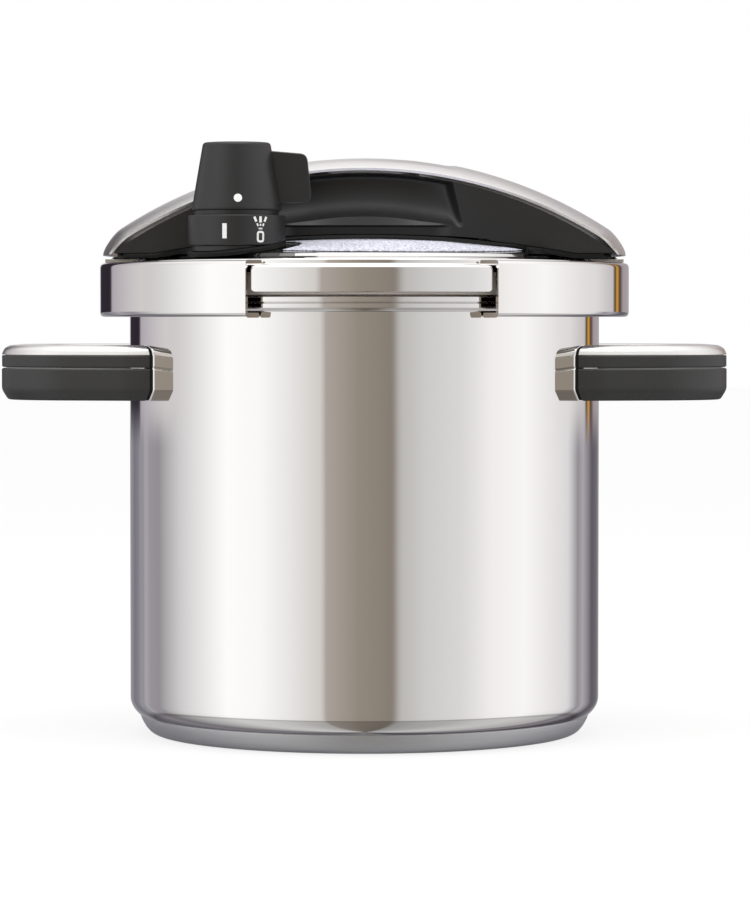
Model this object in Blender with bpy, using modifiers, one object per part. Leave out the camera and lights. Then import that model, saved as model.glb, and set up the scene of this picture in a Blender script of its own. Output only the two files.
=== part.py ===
"""Stovetop pressure cooker: pot with two loop handles, a domed lid held by two sliding jaws under a
bridge grip, a press button that drives the jaws by a wedge, and a turning steam selector.

The origin is at the middle of the underside, +Z is up, and the bridge and handles run along X.
"""

import math

import bmesh
import bpy
from mathutils import Matrix, Vector

MM = 0.001
TURN = 2 * math.pi
ROUND_STEPS = 48
SMALL_STEPS = 16
SEAT_GAP = 0.3 * MM

# Pot
POT_RADIUS = 111 * MM
POT_WALL = 1.2 * MM
POT_BOTTOM = 6 * MM
POT_CORNER = 14.5 * MM
RIM_RADIUS = 116 * MM
RIM_UNDERSIDE = 200.2 * MM
RIM_TOP = 206.1 * MM

# Handles: a loop of constant section round a path in plan
HANDLE_REACH = 169 * MM
HANDLE_HALF_WIDTH = 69.3 * MM
HANDLE_ARM_WIDTH = 23 * MM
HANDLE_CORNER = 22 * MM
HANDLE_BOTTOM = 158.2 * MM
HANDLE_SPLIT = 173.1 * MM
HANDLE_SHOULDER = 179.1 * MM
HANDLE_TOP = 183.6 * MM
HANDLE_CHAMFER = (2.9 * MM, 4.7 * MM)
HANDLE_TAPER_START = 105 * MM
HANDLE_TAPER = 0.00337 / MM
HANDLE_START = 119 * MM
TONGUE_Z = (168.6 * MM, 171.6 * MM)
HANDLE_SCREW_X = 113 * MM
TONGUE_END_X = 120 * MM

# Lid
LID_SHEET = 1.2 * MM
DOME_TOP = 233.5 * MM
DOME_EDGE = 104 * MM
DOME_SAG = 10 * MM
LEDGE_TOP = 219.8 * MM
LEDGE_SIDE_RADIUS = 116.2 * MM
SKIRT_BOTTOM = 207.7 * MM
SKIRT_HALF_WIDTH = 54.2 * MM
LID_TURN = math.radians(1.9)

# Jaws: channel sections of a ring
JAW_RADIUS = 125 * MM
JAW_SHEET = 1.5 * MM
JAW_TOP = 221.8 * MM
JAW_BOTTOM = 196.6 * MM
JAW_LIP_RADIUS = 112.2 * MM
JAW_FLANGE_RADIUS = 109.5 * MM
JAW_HALF_ANGLE = math.radians(63.3)
ARM_THICKNESS = 1.6 * MM
ARM_HALF_WIDTH = 12 * MM
ARM_HIGH_Z = 237.6 * MM
ARM_LOW_Z = 222.9 * MM
ARM_BEND_X = (66 * MM, 110.5 * MM)
ARM_END_X = 122 * MM
RIVET_X = 116 * MM
RIVET_Y = 7 * MM

# Bridge grip over the lid
BRIDGE_ARC = 210.6 * MM
BRIDGE_ARC_CENTRE_Z = 61.7 * MM
BRIDGE_HALF_WIDTH = 35 * MM
BRIDGE_END_RADIUS = 123.5 * MM
BRIDGE_END_BEND = 8.5 * MM
BRIDGE_END_Z = 225.4 * MM
CAP_CROWN = 6.5 * MM
CAP_SHEET = 1.2 * MM
BODY_DROP = 8.6 * MM
BODY_HALF_WIDTH = 34.5 * MM
BODY_END_RADIUS = 121.3 * MM
BODY_WALL = 2.5 * MM
CHANNEL_HALF_WIDTH = 14 * MM
RIB_X = (55.7 * MM, 59 * MM)
POCKET_END_X = 113 * MM
SCOOP_HALF_LENGTH = 42 * MM
SCOOP_BACK_Y = 17.5 * MM
PLATE_THICKNESS = 2.2 * MM
PLATE_END_RADIUS = 117 * MM
WING_RADIUS = 94 * MM
WING_START_X = 75 * MM
BRIDGE_SCREWS = ((-84 * MM, -24 * MM), (-84 * MM, 24 * MM), (84 * MM, -24 * MM), (84 * MM, 24 * MM))

# Press button and wedge
BUTTON_HALF_LENGTH = 26 * MM
BUTTON_HALF_WIDTH = 11 * MM
BUTTON_BOTTOM = 258 * MM
WEDGE_BOTTOM = 250.5 * MM
WEDGE_TIP = 4 * MM
WEDGE_SPREAD = 1.25
SHOE_TOP = 249.6 * MM

# Selector tower
TOWER = Vector((-58.4 * MM, -57.5 * MM, 0))
TOWER_FOOT = 22.6 * MM
RING_RADIUS = 22.3 * MM
RING_Z = (229.2 * MM, 243.0 * MM)
KNOB_BASE = (20.6 * MM, 246.2 * MM)
KNOB_TIP = (15.6 * MM, 275.5 * MM)
KNOB_TOP = 276.4 * MM
POINTER_Z = 250.6 * MM
POINTER_TURN = math.radians(3.6)

# Pressure fittings behind the bridge
INDICATOR = Vector((-40 * MM, 62 * MM, 0))
SAFETY = Vector((40 * MM, 62 * MM, 0))


def clear_scene():
    for old in list(bpy.data.objects):
        bpy.data.objects.remove(old)


def new_collection(name):
    collection = bpy.data.collections.new(name)
    bpy.context.scene.collection.children.link(collection)
    return collection


def new_material(name, colour, roughness, metallic):
    made = bpy.data.materials.new(name)
    made.use_nodes = True
    shader = made.node_tree.nodes["Principled BSDF"]
    shader.inputs["Base Color"].default_value = (*colour, 1)
    shader.inputs["Roughness"].default_value = roughness
    shader.inputs["Metallic"].default_value = metallic
    return made


clear_scene()
PARTS = new_collection("pressure_cooker")
CUTTERS = new_collection("cutters")
POLISHED = new_material("polished_steel", (0.80, 0.79, 0.77), 0.08, 1.0)
BRUSHED = new_material("brushed_steel", (0.72, 0.71, 0.69), 0.32, 1.0)
BASE_STEEL = new_material("satin_base_steel", (0.55, 0.55, 0.56), 0.28, 1.0)
SPRING_STEEL = new_material("spring_steel", (0.60, 0.60, 0.61), 0.25, 1.0)
ALUMINIUM = new_material("aluminium", (0.82, 0.83, 0.85), 0.35, 1.0)
BLACK_PLASTIC = new_material("black_plastic", (0.035, 0.035, 0.036), 0.45, 0.0)
GREY_PLASTIC = new_material("pale_inlay", (0.75, 0.75, 0.74), 0.5, 0.0)
SHOE_PLASTIC = new_material("nylon", (0.85, 0.83, 0.78), 0.5, 0.0)
SILICONE = new_material("silicone", (0.62, 0.63, 0.65), 0.6, 0.0)
BRASS = new_material("brass", (0.78, 0.60, 0.30), 0.25, 1.0)


# ---- making shapes ---------------------------------------------------------------------------------


def put(obj, collection, finish=None, location=(0, 0, 0)):
    """Links an object, with its material, and hides it from renders if it only cuts."""
    collection.objects.link(obj)
    obj.location = location
    if finish:
        obj.data.materials.append(finish)
    if collection is CUTTERS:
        obj.hide_render = True
        obj.display_type = "WIRE"
    return obj


def as_mesh(obj):
    """The object with its modifiers applied, as one welded mesh in the same place."""
    bpy.context.view_layer.update()
    graph = bpy.context.evaluated_depsgraph_get()
    mesh = bpy.data.meshes.new_from_object(obj.evaluated_get(graph))
    bm = bmesh.new()
    bm.from_mesh(mesh)
    bmesh.ops.remove_doubles(bm, verts=bm.verts, dist=1e-6)
    bm.to_mesh(mesh)
    bm.free()
    made = bpy.data.objects.new(obj.name, mesh)
    for collection in obj.users_collection:
        collection.objects.link(made)
    made.matrix_world = obj.matrix_world.copy()
    made.hide_render = obj.hide_render
    made.display_type = obj.display_type
    name = obj.name
    bpy.data.objects.remove(obj)
    made.name = name
    return made


def turned(name, profile, finish=None, location=(0, 0, 0), steps=ROUND_STEPS, collection=None):
    """A solid of revolution round Z. The profile is (radius, z) points, down the outer side first.

    A profile that starts and ends on the axis is a disc-like solid, any other is closed into a ring.
    """
    on_axis = profile[0][0] == 0 and profile[-1][0] == 0
    count = len(profile)
    edges = [(i, i + 1) for i in range(count - 1)]
    if not on_axis:
        edges.append((count - 1, 0))
    mesh = bpy.data.meshes.new(name)
    mesh.from_pydata([(r, 0, z) for r, z in profile], edges, [])
    obj = put(bpy.data.objects.new(name, mesh), collection or PARTS, finish, location)
    screw = obj.modifiers.new("Turn", "SCREW")
    screw.steps = screw.render_steps = steps
    screw.use_merge_vertices = True
    screw.merge_threshold = 1e-5
    made = as_mesh(obj)
    made.data.shade_smooth()
    made.data.set_sharp_from_angle(angle=math.radians(35))
    return made


def ring_sector(name, profile, start, sweep, steps, finish=None, collection=None):
    """A closed profile of (radius, z) points carried round Z from one angle to another."""
    bm = bmesh.new()
    corners = [bm.verts.new((r * math.cos(start), r * math.sin(start), z)) for r, z in profile]
    face = bm.faces.new(corners)
    geometry = [face, *face.edges, *face.verts]
    bmesh.ops.spin(bm, geom=geometry, axis=(0, 0, 1), cent=(0, 0, 0), angle=sweep, steps=steps)
    bmesh.ops.remove_doubles(bm, verts=bm.verts, dist=1e-6)
    bmesh.ops.recalc_face_normals(bm, faces=bm.faces)
    mesh = bpy.data.meshes.new(name)
    bm.to_mesh(mesh)
    bm.free()
    mesh.shade_smooth()
    mesh.set_sharp_from_angle(angle=math.radians(35))
    return put(bpy.data.objects.new(name, mesh), collection or PARTS, finish)


def cylinder(name, radius, low, high, finish=None, location=(0, 0, 0), steps=SMALL_STEPS, collection=None):
    """An upright cylinder between two heights."""
    bm = bmesh.new()
    bmesh.ops.create_cone(
        bm, cap_ends=True, segments=steps, radius1=radius, radius2=radius, depth=high - low
    )
    bmesh.ops.translate(bm, verts=bm.verts, vec=(0, 0, (low + high) / 2))
    mesh = bpy.data.meshes.new(name)
    bm.to_mesh(mesh)
    bm.free()
    return put(bpy.data.objects.new(name, mesh), collection or PARTS, finish, location)


def block(name, low, high, finish=None, collection=None):
    """A box between two corners."""
    low, high = Vector(low), Vector(high)
    bm = bmesh.new()
    bmesh.ops.create_cube(bm, size=1)
    bmesh.ops.scale(bm, verts=bm.verts, vec=high - low)
    bmesh.ops.translate(bm, verts=bm.verts, vec=(low + high) / 2)
    mesh = bpy.data.meshes.new(name)
    bm.to_mesh(mesh)
    bm.free()
    return put(bpy.data.objects.new(name, mesh), collection or PARTS, finish)


def outline_curve(name, outline):
    """A closed flat curve in its own XY plane."""
    curve = bpy.data.curves.new(name, "CURVE")
    curve.dimensions = "2D"
    curve.fill_mode = "BOTH"
    spline = curve.splines.new("POLY")
    spline.points.add(len(outline) - 1)
    for point, (x, y) in zip(spline.points, outline):
        point.co = (x, y, 0, 1)
    spline.use_cyclic_u = True
    return curve


def extruded(name, outline, low, high, finish=None, location=(0, 0, 0), upright=False, collection=None):
    """A flat outline made thick: in XY and thick along Z, or upright, in XZ and thick along Y."""
    curve = outline_curve(name, outline)
    curve.extrude = (high - low) / 2
    obj = put(bpy.data.objects.new(name, curve), collection or PARTS, finish)
    middle = (low + high) / 2
    if upright:
        turn = Matrix.Rotation(math.radians(90), 4, "X")
        obj.matrix_world = Matrix.Translation(Vector(location) + Vector((0, middle, 0))) @ turn
    else:
        obj.matrix_world = Matrix.Translation(Vector(location) + Vector((0, 0, middle)))
    return as_mesh(obj)


def swept(name, path, section, finish=None):
    """A closed section carried along a level path. The section is (sideways, z) points."""
    guide = outline_curve(name + "_section", [(-x, z) for x, z in section])
    guide.fill_mode = "NONE"
    guide_obj = put(bpy.data.objects.new(name + "_section", guide), CUTTERS)
    curve = bpy.data.curves.new(name, "CURVE")
    curve.dimensions = "3D"
    curve.twist_mode = "Z_UP"
    curve.bevel_mode = "OBJECT"
    curve.bevel_object = guide_obj
    curve.use_fill_caps = True
    spline = curve.splines.new("POLY")
    spline.points.add(len(path) - 1)
    for point, (x, y) in zip(spline.points, path):
        point.co = (x, y, 0, 1)
    made = as_mesh(put(bpy.data.objects.new(name, curve), PARTS, finish))
    bpy.data.objects.remove(guide_obj)
    return made


def boolean(obj, other, operation):
    """Cuts, joins or crosses two solids, and keeps the first. The other one is used up."""
    modifier = obj.modifiers.new(operation.title(), "BOOLEAN")
    modifier.operation = operation
    modifier.object = other
    made = as_mesh(obj)
    bpy.data.objects.remove(other)
    return made


def cut(obj, other):
    return boolean(obj, other, "DIFFERENCE")


def join(obj, other):
    return boolean(obj, other, "UNION")


def cross(obj, other):
    return boolean(obj, other, "INTERSECT")


def arc_points(centre, radius, start, end, count):
    """Points on an arc from one angle to another, both ends included."""
    return [
        (
            centre[0] + radius * math.cos(start + (end - start) * i / (count - 1)),
            centre[1] + radius * math.sin(start + (end - start) * i / (count - 1)),
        )
        for i in range(count)
    ]


def coil(name, radius, wire, start, length, turns, finish, axis="Z", location=(0, 0, 0)):
    """A compression spring of round wire, from start along its axis."""
    per_turn = 8
    curve = bpy.data.curves.new(name, "CURVE")
    curve.dimensions = "3D"
    curve.bevel_depth = wire / 2
    curve.bevel_resolution = 2
    curve.use_fill_caps = True
    spline = curve.splines.new("POLY")
    count = turns * per_turn + 1
    spline.points.add(count - 1)
    for i, point in enumerate(spline.points):
        angle = TURN * i / per_turn
        along = start + length * i / (count - 1)
        round_a, round_b = radius * math.cos(angle), radius * math.sin(angle)
        place = (round_a, round_b, along) if axis == "Z" else (along, round_a, round_b)
        point.co = (*place, 1)
    return as_mesh(put(bpy.data.objects.new(name, curve), PARTS, finish, location))


# ---- surfaces that several pieces share ------------------------------------------------------------


def dome_z(radius):
    """Height of the lid's outer face over a radius."""
    return DOME_TOP - DOME_SAG * (radius / DOME_EDGE) ** 2


def dome_line(rise, radii):
    return [(r, dome_z(r) + rise) for r in radii]


def above_dome(name, rise, low):
    """A cutter that fills everything under a surface that lies over the dome by the rise."""
    radii = [0, 26 * MM, 52 * MM, 78 * MM, 93 * MM, DOME_EDGE]
    top = dome_line(rise, radii) + [(140 * MM, dome_z(DOME_EDGE) + rise)]
    return turned(name, top + [(140 * MM, low), (0, low)], collection=CUTTERS)


def arc_z(x, inset=0):
    """Height of the bridge's long arc at x, on a circle that the inset makes smaller."""
    return BRIDGE_ARC_CENTRE_Z + math.sqrt((BRIDGE_ARC - inset) ** 2 - x * x)


def cap_z(x, y):
    """Height of the bridge cap's outer face."""
    edge = BRIDGE_END_RADIUS - math.hypot(x, y)
    bend = max(0.0, 1 - max(0.0, edge) / BRIDGE_END_BEND)
    crowned = arc_z(x) - CAP_CROWN * (abs(y) / BRIDGE_HALF_WIDTH) ** 2.5
    return BRIDGE_END_Z + (crowned - BRIDGE_END_Z) * math.sqrt(1 - min(1.0, bend) ** 2)


# ---- pot -------------------------------------------------------------------------------------------


def make_pot():
    corner = (POT_RADIUS - POT_CORNER, POT_BOTTOM + POT_CORNER)
    inner = POT_CORNER - POT_WALL
    quarter = math.pi / 2
    inside_corner = arc_points(corner, inner, -quarter, 0, 5)
    outside_corner = arc_points(corner, POT_CORNER, 0, -quarter, 6)
    rim = [
        (109.8 * MM, 205.3 * MM),
        (110.6 * MM, RIM_TOP),
        (115.2 * MM, RIM_TOP),
        (RIM_RADIUS, 205.2 * MM),
        (RIM_RADIUS, 203.5 * MM),
        (115.4 * MM, 203.0 * MM),
        (RIM_RADIUS, 202.5 * MM),
        (RIM_RADIUS, 200.9 * MM),
        (115.2 * MM, RIM_UNDERSIDE),
        (112.4 * MM, RIM_UNDERSIDE),
        (POT_RADIUS, 198.8 * MM),
    ]
    profile = [(0, POT_BOTTOM + POT_WALL), *inside_corner, *rim, *outside_corner, (0, POT_BOTTOM)]
    turned("pot_body", profile, POLISHED)


def make_base():
    core = [(0, 5.7), (98.6, 5.7), (100.4, 5.0), (99.6, 3.0), (97.6, 1.3), (0, 1.3)]
    turned("base_core", [(r * MM, z * MM) for r, z in core], ALUMINIUM)
    inside = [(0, 1.0), (98.3, 1.0), (100.6, 2.7), (102.0, 5.0), (103.0, 7.2), (105.6, 8.9)]
    outside = [(106.4, 8.9), (105.6, 6.6), (103.8, 3.4), (101.6, 1.0), (99.4, 0), (0, 0)]
    turned("base_cap", [(r * MM, z * MM) for r, z in inside + outside], BASE_STEEL)


# ---- handles ---------------------------------------------------------------------------------------


def handle_path(side, start):
    """Middle line of the loop in plan, from the front arm round to the rear arm; the arms draw together
    beyond the collars."""
    arm_y = HANDLE_HALF_WIDTH - HANDLE_ARM_WIDTH / 2
    bar_x = HANDLE_REACH - HANDLE_ARM_WIDTH / 2
    corner_x, corner_y = bar_x - HANDLE_CORNER, arm_y - HANDLE_CORNER
    quarter = math.pi / 2
    path = [(start, -arm_y)]
    path += arc_points((corner_x, -corner_y), HANDLE_CORNER, -quarter, 0, 7)
    path += arc_points((corner_x, corner_y), HANDLE_CORNER, 0, quarter, 7)
    path += [(start, arm_y)]
    path = [(x, y * (1 - HANDLE_TAPER * max(0, x - HANDLE_TAPER_START))) for x, y in path]
    path = path[:1] + [(HANDLE_TAPER_START, -arm_y)] + path[1:-1] + [(HANDLE_TAPER_START, arm_y)] + path[-1:]
    if side < 0:
        path = [(-x, y) for x, y in reversed(path)]
    return path


def mirrored_section(half):
    """A section from its right half, bottom to top, that is the same on the left."""
    return half + [(-x, z) for x, z in reversed(half)]


def trim_profile():
    """Outer face of the steel trim on the right half, from the shoulder to the top."""
    wide = HANDLE_ARM_WIDTH / 2
    return [
        (wide, HANDLE_SHOULDER),
        (wide - 1.1 * MM, HANDLE_SHOULDER + 2.9 * MM),
        (wide - 4.1 * MM, HANDLE_TOP),
    ]


def make_handle_loop(side, label):
    wide = HANDLE_ARM_WIDTH / 2
    narrow = wide - HANDLE_CHAMFER[0]
    split_gap = 0.2 * MM
    path = handle_path(side, 90 * MM)
    lower = mirrored_section([
        (narrow, HANDLE_BOTTOM),
        (wide, HANDLE_BOTTOM + HANDLE_CHAMFER[1]),
        (wide, HANDLE_SPLIT - split_gap),
    ])
    shoulder = HANDLE_SHOULDER - SEAT_GAP
    upper = mirrored_section([
        (wide - 0.1 * MM, HANDLE_SPLIT + split_gap),
        (wide - 0.1 * MM, shoulder),
        (wide - 1.5 * MM, shoulder),
        (wide - 2.35 * MM, shoulder + 2.3 * MM),
        (wide - 4.5 * MM, shoulder + 3.5 * MM),
    ])
    trim_outside = trim_profile()
    trim_inside = [
        (wide - 4.3 * MM, HANDLE_TOP - 0.9 * MM),
        (wide - 2 * MM, HANDLE_SHOULDER + 2.3 * MM),
        (wide - 1.2 * MM, HANDLE_SHOULDER),
    ]
    trim = trim_outside + [(-x, z) for x, z in reversed(trim_outside)]
    trim += [(-x, z) for x, z in reversed(trim_inside)] + trim_inside
    pieces = {
        "handle_lower_" + label: (lower, BLACK_PLASTIC),
        "handle_upper_" + label: (upper, BLACK_PLASTIC),
        "handle_trim_" + label: (trim, BRUSHED),
    }
    for name, (section, finish) in pieces.items():
        piece = swept(name, path, section, finish)
        bore = cylinder("root", HANDLE_START, 140 * MM, 200 * MM, steps=ROUND_STEPS, collection=CUTTERS)
        piece = cut(piece, bore)
        if "lower" in name:
            for end in (-1, 1):
                piece = cut_handle_seat(piece, side, end)


def cut_handle_seat(piece, side, end):
    """The pocket for the tongue and the screw's stepped hole in one arm."""
    arm_y = end * (HANDLE_HALF_WIDTH - HANDLE_ARM_WIDTH / 2)
    near, far = sorted((side * 90 * MM, side * (TONGUE_END_X + 1 * MM)))
    half = 6.3 * MM
    pocket = block(
        "pocket",
        (near, arm_y - half, TONGUE_Z[0] - SEAT_GAP),
        (far, arm_y + half, HANDLE_SPLIT + 1 * MM),
        collection=CUTTERS,
    )
    piece = cut(piece, pocket)
    place = (side * HANDLE_SCREW_X, arm_y, 0)
    shaft = cylinder("shaft_hole", 2.6 * MM, 155 * MM, 170 * MM, location=place, collection=CUTTERS)
    piece = cut(piece, shaft)
    head = cylinder("head_hole", 5 * MM, 155 * MM, 162.5 * MM, location=place, collection=CUTTERS)
    return cut(piece, head)


def make_handle_root(side, end, label):
    """The welded bracket, steel collar and screw of one arm."""
    arm_y = end * (HANDLE_HALF_WIDTH - HANDLE_ARM_WIDTH / 2)
    out = side * 1.0

    def spanning(name, x0, x1, half, low, high, finish=None, collection=None):
        near, far = sorted((out * x0, out * x1))
        return block(name, (near, arm_y - half, low), (far, arm_y + half, high), finish, collection)

    weld = POT_RADIUS + SEAT_GAP
    bracket = spanning("handle_bracket_" + label, 80 * MM, 112 * MM, 6.6 * MM, 162.5 * MM, 179 * MM, BRUSHED)
    outer = cylinder("plate_outer", weld + 2 * MM, 150 * MM, 190 * MM, steps=ROUND_STEPS, collection=CUTTERS)
    bracket = cross(bracket, outer)
    tongue = spanning("tongue", 85 * MM, TONGUE_END_X, 6 * MM, *TONGUE_Z, collection=CUTTERS)
    bracket = join(bracket, tongue)
    wall = cylinder("pot_wall", weld, 150 * MM, 190 * MM, steps=ROUND_STEPS, collection=CUTTERS)
    bracket = cut(bracket, wall)
    place = (side * HANDLE_SCREW_X, arm_y, 0)
    hole = cylinder("tongue_hole", 2.5 * MM, 160 * MM, 180 * MM, location=place, collection=CUTTERS)
    cut(bracket, hole)

    wide = HANDLE_ARM_WIDTH / 2
    section = mirrored_section([
        (wide - HANDLE_CHAMFER[0], HANDLE_BOTTOM),
        (wide, HANDLE_BOTTOM + HANDLE_CHAMFER[1]),
        *trim_profile(),
    ])
    path = [(side * 80 * MM, arm_y), (side * 125 * MM, arm_y)]
    collar = swept("handle_collar_" + label, path, section, POLISHED)
    outer = cylinder("collar_outer", HANDLE_START - 0.4 * MM, 150 * MM, 190 * MM, steps=ROUND_STEPS,
                     collection=CUTTERS)
    collar = cross(collar, outer)
    wall = cylinder("pot_wall", weld, 150 * MM, 190 * MM, steps=ROUND_STEPS, collection=CUTTERS)
    collar = cut(collar, wall)
    hollow = spanning("collar_hollow", 70 * MM, 130 * MM, 8 * MM, 161.5 * MM, 180 * MM, collection=CUTTERS)
    cut(collar, hollow)

    screw = [(0, 172), (2.2, 172), (2.2, 162.2), (4.4, 162.2), (4.4, 159.6), (3.8, 159), (0, 159)]
    profile = [(r * MM, z * MM) for r, z in screw]
    turned("handle_screw_" + label, profile, SPRING_STEEL, place, steps=12)


def make_handles():
    for side, side_name in ((-1, "left"), (1, "right")):
        make_handle_loop(side, side_name)
        for end, end_name in ((-1, "front"), (1, "rear")):
            make_handle_root(side, end, f"{side_name}_{end_name}")


# ---- lid -------------------------------------------------------------------------------------------


def lid_hole(obj, place, radius):
    """Cuts an upright hole through a lid piece."""
    tool = cylinder("lid_hole", radius, 200 * MM, 260 * MM, location=place, collection=CUTTERS)
    return cut(obj, tool)


def make_lid_shell():
    radii = [26 * MM, 52 * MM, 78 * MM, 93 * MM, DOME_EDGE]
    outside = [(0, DOME_TOP), *dome_line(0, radii)]
    edge = [
        (106.6, 222.9), (108.0, 221.7), (108.5, 220.5), (109.3, 219.8), (120.5, 219.8), (121.8, 219.2),
        (122.3, 218.0), (122.3, 207.7), (121.1, 207.7), (121.1, 217.7), (120.2, 218.6), (108.8, 218.6),
        (107.6, 219.3), (106.9, 220.9), (106.0, 221.8),
    ]
    inside = [*dome_line(-LID_SHEET, reversed(radii)), (0, DOME_TOP - LID_SHEET)]
    lid = turned("lid_shell", outside + [(r * MM, z * MM) for r, z in edge] + inside, POLISHED)
    for side in (-1, 1):
        near, far = sorted((side * SKIRT_HALF_WIDTH, side * 130 * MM))
        relief = block("skirt_relief", (near, -130 * MM, 200 * MM), (far, 130 * MM, 230 * MM),
                       collection=CUTTERS)
        core = cylinder("ledge_core", LEDGE_SIDE_RADIUS, 190 * MM, 240 * MM, steps=ROUND_STEPS,
                        collection=CUTTERS)
        relief = cut(relief, core)
        relief.matrix_world = Matrix.Rotation(LID_TURN, 4, "Z")
        lid = cut(lid, relief)
    lid = lid_hole(lid, TOWER, 6.4 * MM)
    lid = lid_hole(lid, INDICATOR, 4.3 * MM)
    lid = lid_hole(lid, SAFETY, 5.4 * MM)
    for x, y in BRIDGE_SCREWS:
        lid = lid_hole(lid, (x, y, 0), 2.3 * MM)


def make_gasket():
    profile = [
        (114.8, 218.2), (115.7, 217.2), (115.7, 206.5), (109.4, 206.5), (109.0, 204.6), (107.6, 204.2),
        (106.6, 208), (107.0, 213.5), (105.6, 216.2), (106.2, 218.2),
    ]
    turned("gasket", [(r * MM, z * MM) for r, z in profile], SILICONE, steps=36)


def dome_sheet(name, low_rise, thickness, reach, finish):
    """A sheet that follows the dome, and runs level beyond its edge."""
    radii = [26 * MM, 52 * MM, 78 * MM, 93 * MM, DOME_EDGE]
    level = dome_z(DOME_EDGE) + low_rise
    low = [(0, DOME_TOP + low_rise), *dome_line(low_rise, radii)]
    high = [(0, DOME_TOP + low_rise + thickness), *dome_line(low_rise + thickness, radii)]
    if reach > DOME_EDGE:
        high.append((reach, level + thickness))
        low.append((reach, level))
    return turned(name, high + low[::-1], finish)


def make_bridge_plate():
    """The thin black carrier between dome and bridge: strip, two wings and the tower's lobe."""
    plate = dome_sheet("bridge_plate", SEAT_GAP, PLATE_THICKNESS, PLATE_END_RADIUS, BLACK_PLASTIC)
    reach, half = 130 * MM, BRIDGE_HALF_WIDTH + 1 * MM
    plan = block("strip", (-reach, -half, 200 * MM), (reach, half, 260 * MM), collection=CUTTERS)
    for side in (-1, 1):
        disc = cylinder("wing", WING_RADIUS, 201 * MM, 259 * MM, steps=ROUND_STEPS, collection=CUTTERS)
        near, far = sorted((side * WING_START_X, side * reach))
        keep = block("wing_side", (near, -reach, 190 * MM), (far, reach, 270 * MM), collection=CUTTERS)
        plan = join(plan, cross(disc, keep))
    lobe = cylinder("lobe", TOWER_FOOT, 202 * MM, 258 * MM, location=TOWER, steps=40, collection=CUTTERS)
    plate = cross(plate, join(plan, lobe))
    for side in (-1, 1):
        near, far = sorted((side * 86 * MM, side * 130 * MM))
        slot = block("arm_slot", (near, -14 * MM, 210 * MM), (far, 14 * MM, 250 * MM), collection=CUTTERS)
        plate = cut(plate, slot)
    plate = lid_hole(plate, TOWER, 9.8 * MM)
    for x, y in BRIDGE_SCREWS:
        plate = lid_hole(plate, (x, y, 0), 2.3 * MM)


def make_label_plate():
    """The blank foil plate on the front of the dome, between the tower and the right wing."""
    foil = dome_sheet("label_plate", SEAT_GAP, 0.4 * MM, DOME_EDGE, ALUMINIUM)
    keep = cylinder("label_rim", 71.3 * MM, 200 * MM, 260 * MM, location=(4.2 * MM, -19.8 * MM, 0),
                    steps=ROUND_STEPS, collection=CUTTERS)
    foil = cross(foil, keep)
    front = BRIDGE_HALF_WIDTH + 1.5 * MM
    window = block("label_window", (-60 * MM, -110 * MM, 210 * MM),
                   (WING_START_X - 0.6 * MM, -front, 250 * MM), collection=CUTTERS)
    foil = cross(foil, window)
    lobe = cylinder("lobe_clear", 29.9 * MM, 200 * MM, 260 * MM, location=TOWER, steps=40,
                    collection=CUTTERS)
    cut(foil, lobe)


# ---- bridge grip -----------------------------------------------------------------------------------


def arch_outline(inset, half_length, floor_z, count=21):
    """A bridge section in XZ: the long arc, inset, over a level floor."""
    xs = [half_length * (2 * i / (count - 1) - 1) for i in range(count)]
    return [(x, arc_z(x, inset)) for x in reversed(xs)] + [(-half_length, floor_z), (half_length, floor_z)]


def stadium(half_length, half_width, count=7):
    """A slot outline with round ends."""
    straight = half_length - half_width
    quarter = math.pi / 2
    right = arc_points((straight, 0), half_width, -quarter, quarter, count)
    left = arc_points((-straight, 0), half_width, quarter, 3 * quarter, count)
    return right + left


def make_bridge_cap():
    """The steel cover: a grid bent to the long arc, crowned across and turned down at the ends."""
    along, across = 32, 8
    bm = bmesh.new()
    bmesh.ops.create_grid(bm, x_segments=along, y_segments=across, size=1)
    for vert in bm.verts:
        y = vert.co.y * BRIDGE_HALF_WIDTH
        end_x = math.sqrt(BRIDGE_END_RADIUS**2 - y * y)
        x = end_x * math.sin(vert.co.x * math.pi / 2)
        vert.co = (x, y, cap_z(x, y))
    mesh = bpy.data.meshes.new("bridge_cap")
    bm.to_mesh(mesh)
    bm.free()
    mesh.shade_smooth()
    cap = put(bpy.data.objects.new("bridge_cap", mesh), PARTS, BRUSHED)
    sheet = cap.modifiers.new("Sheet", "SOLIDIFY")
    sheet.thickness = CAP_SHEET
    sheet.offset = -1
    cap = as_mesh(cap)
    opening = stadium(BUTTON_HALF_LENGTH + 0.5 * MM, BUTTON_HALF_WIDTH + 0.5 * MM)
    tool = extruded("button_opening", opening, 255 * MM, 285 * MM, collection=CUTTERS)
    cut(cap, tool)


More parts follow.
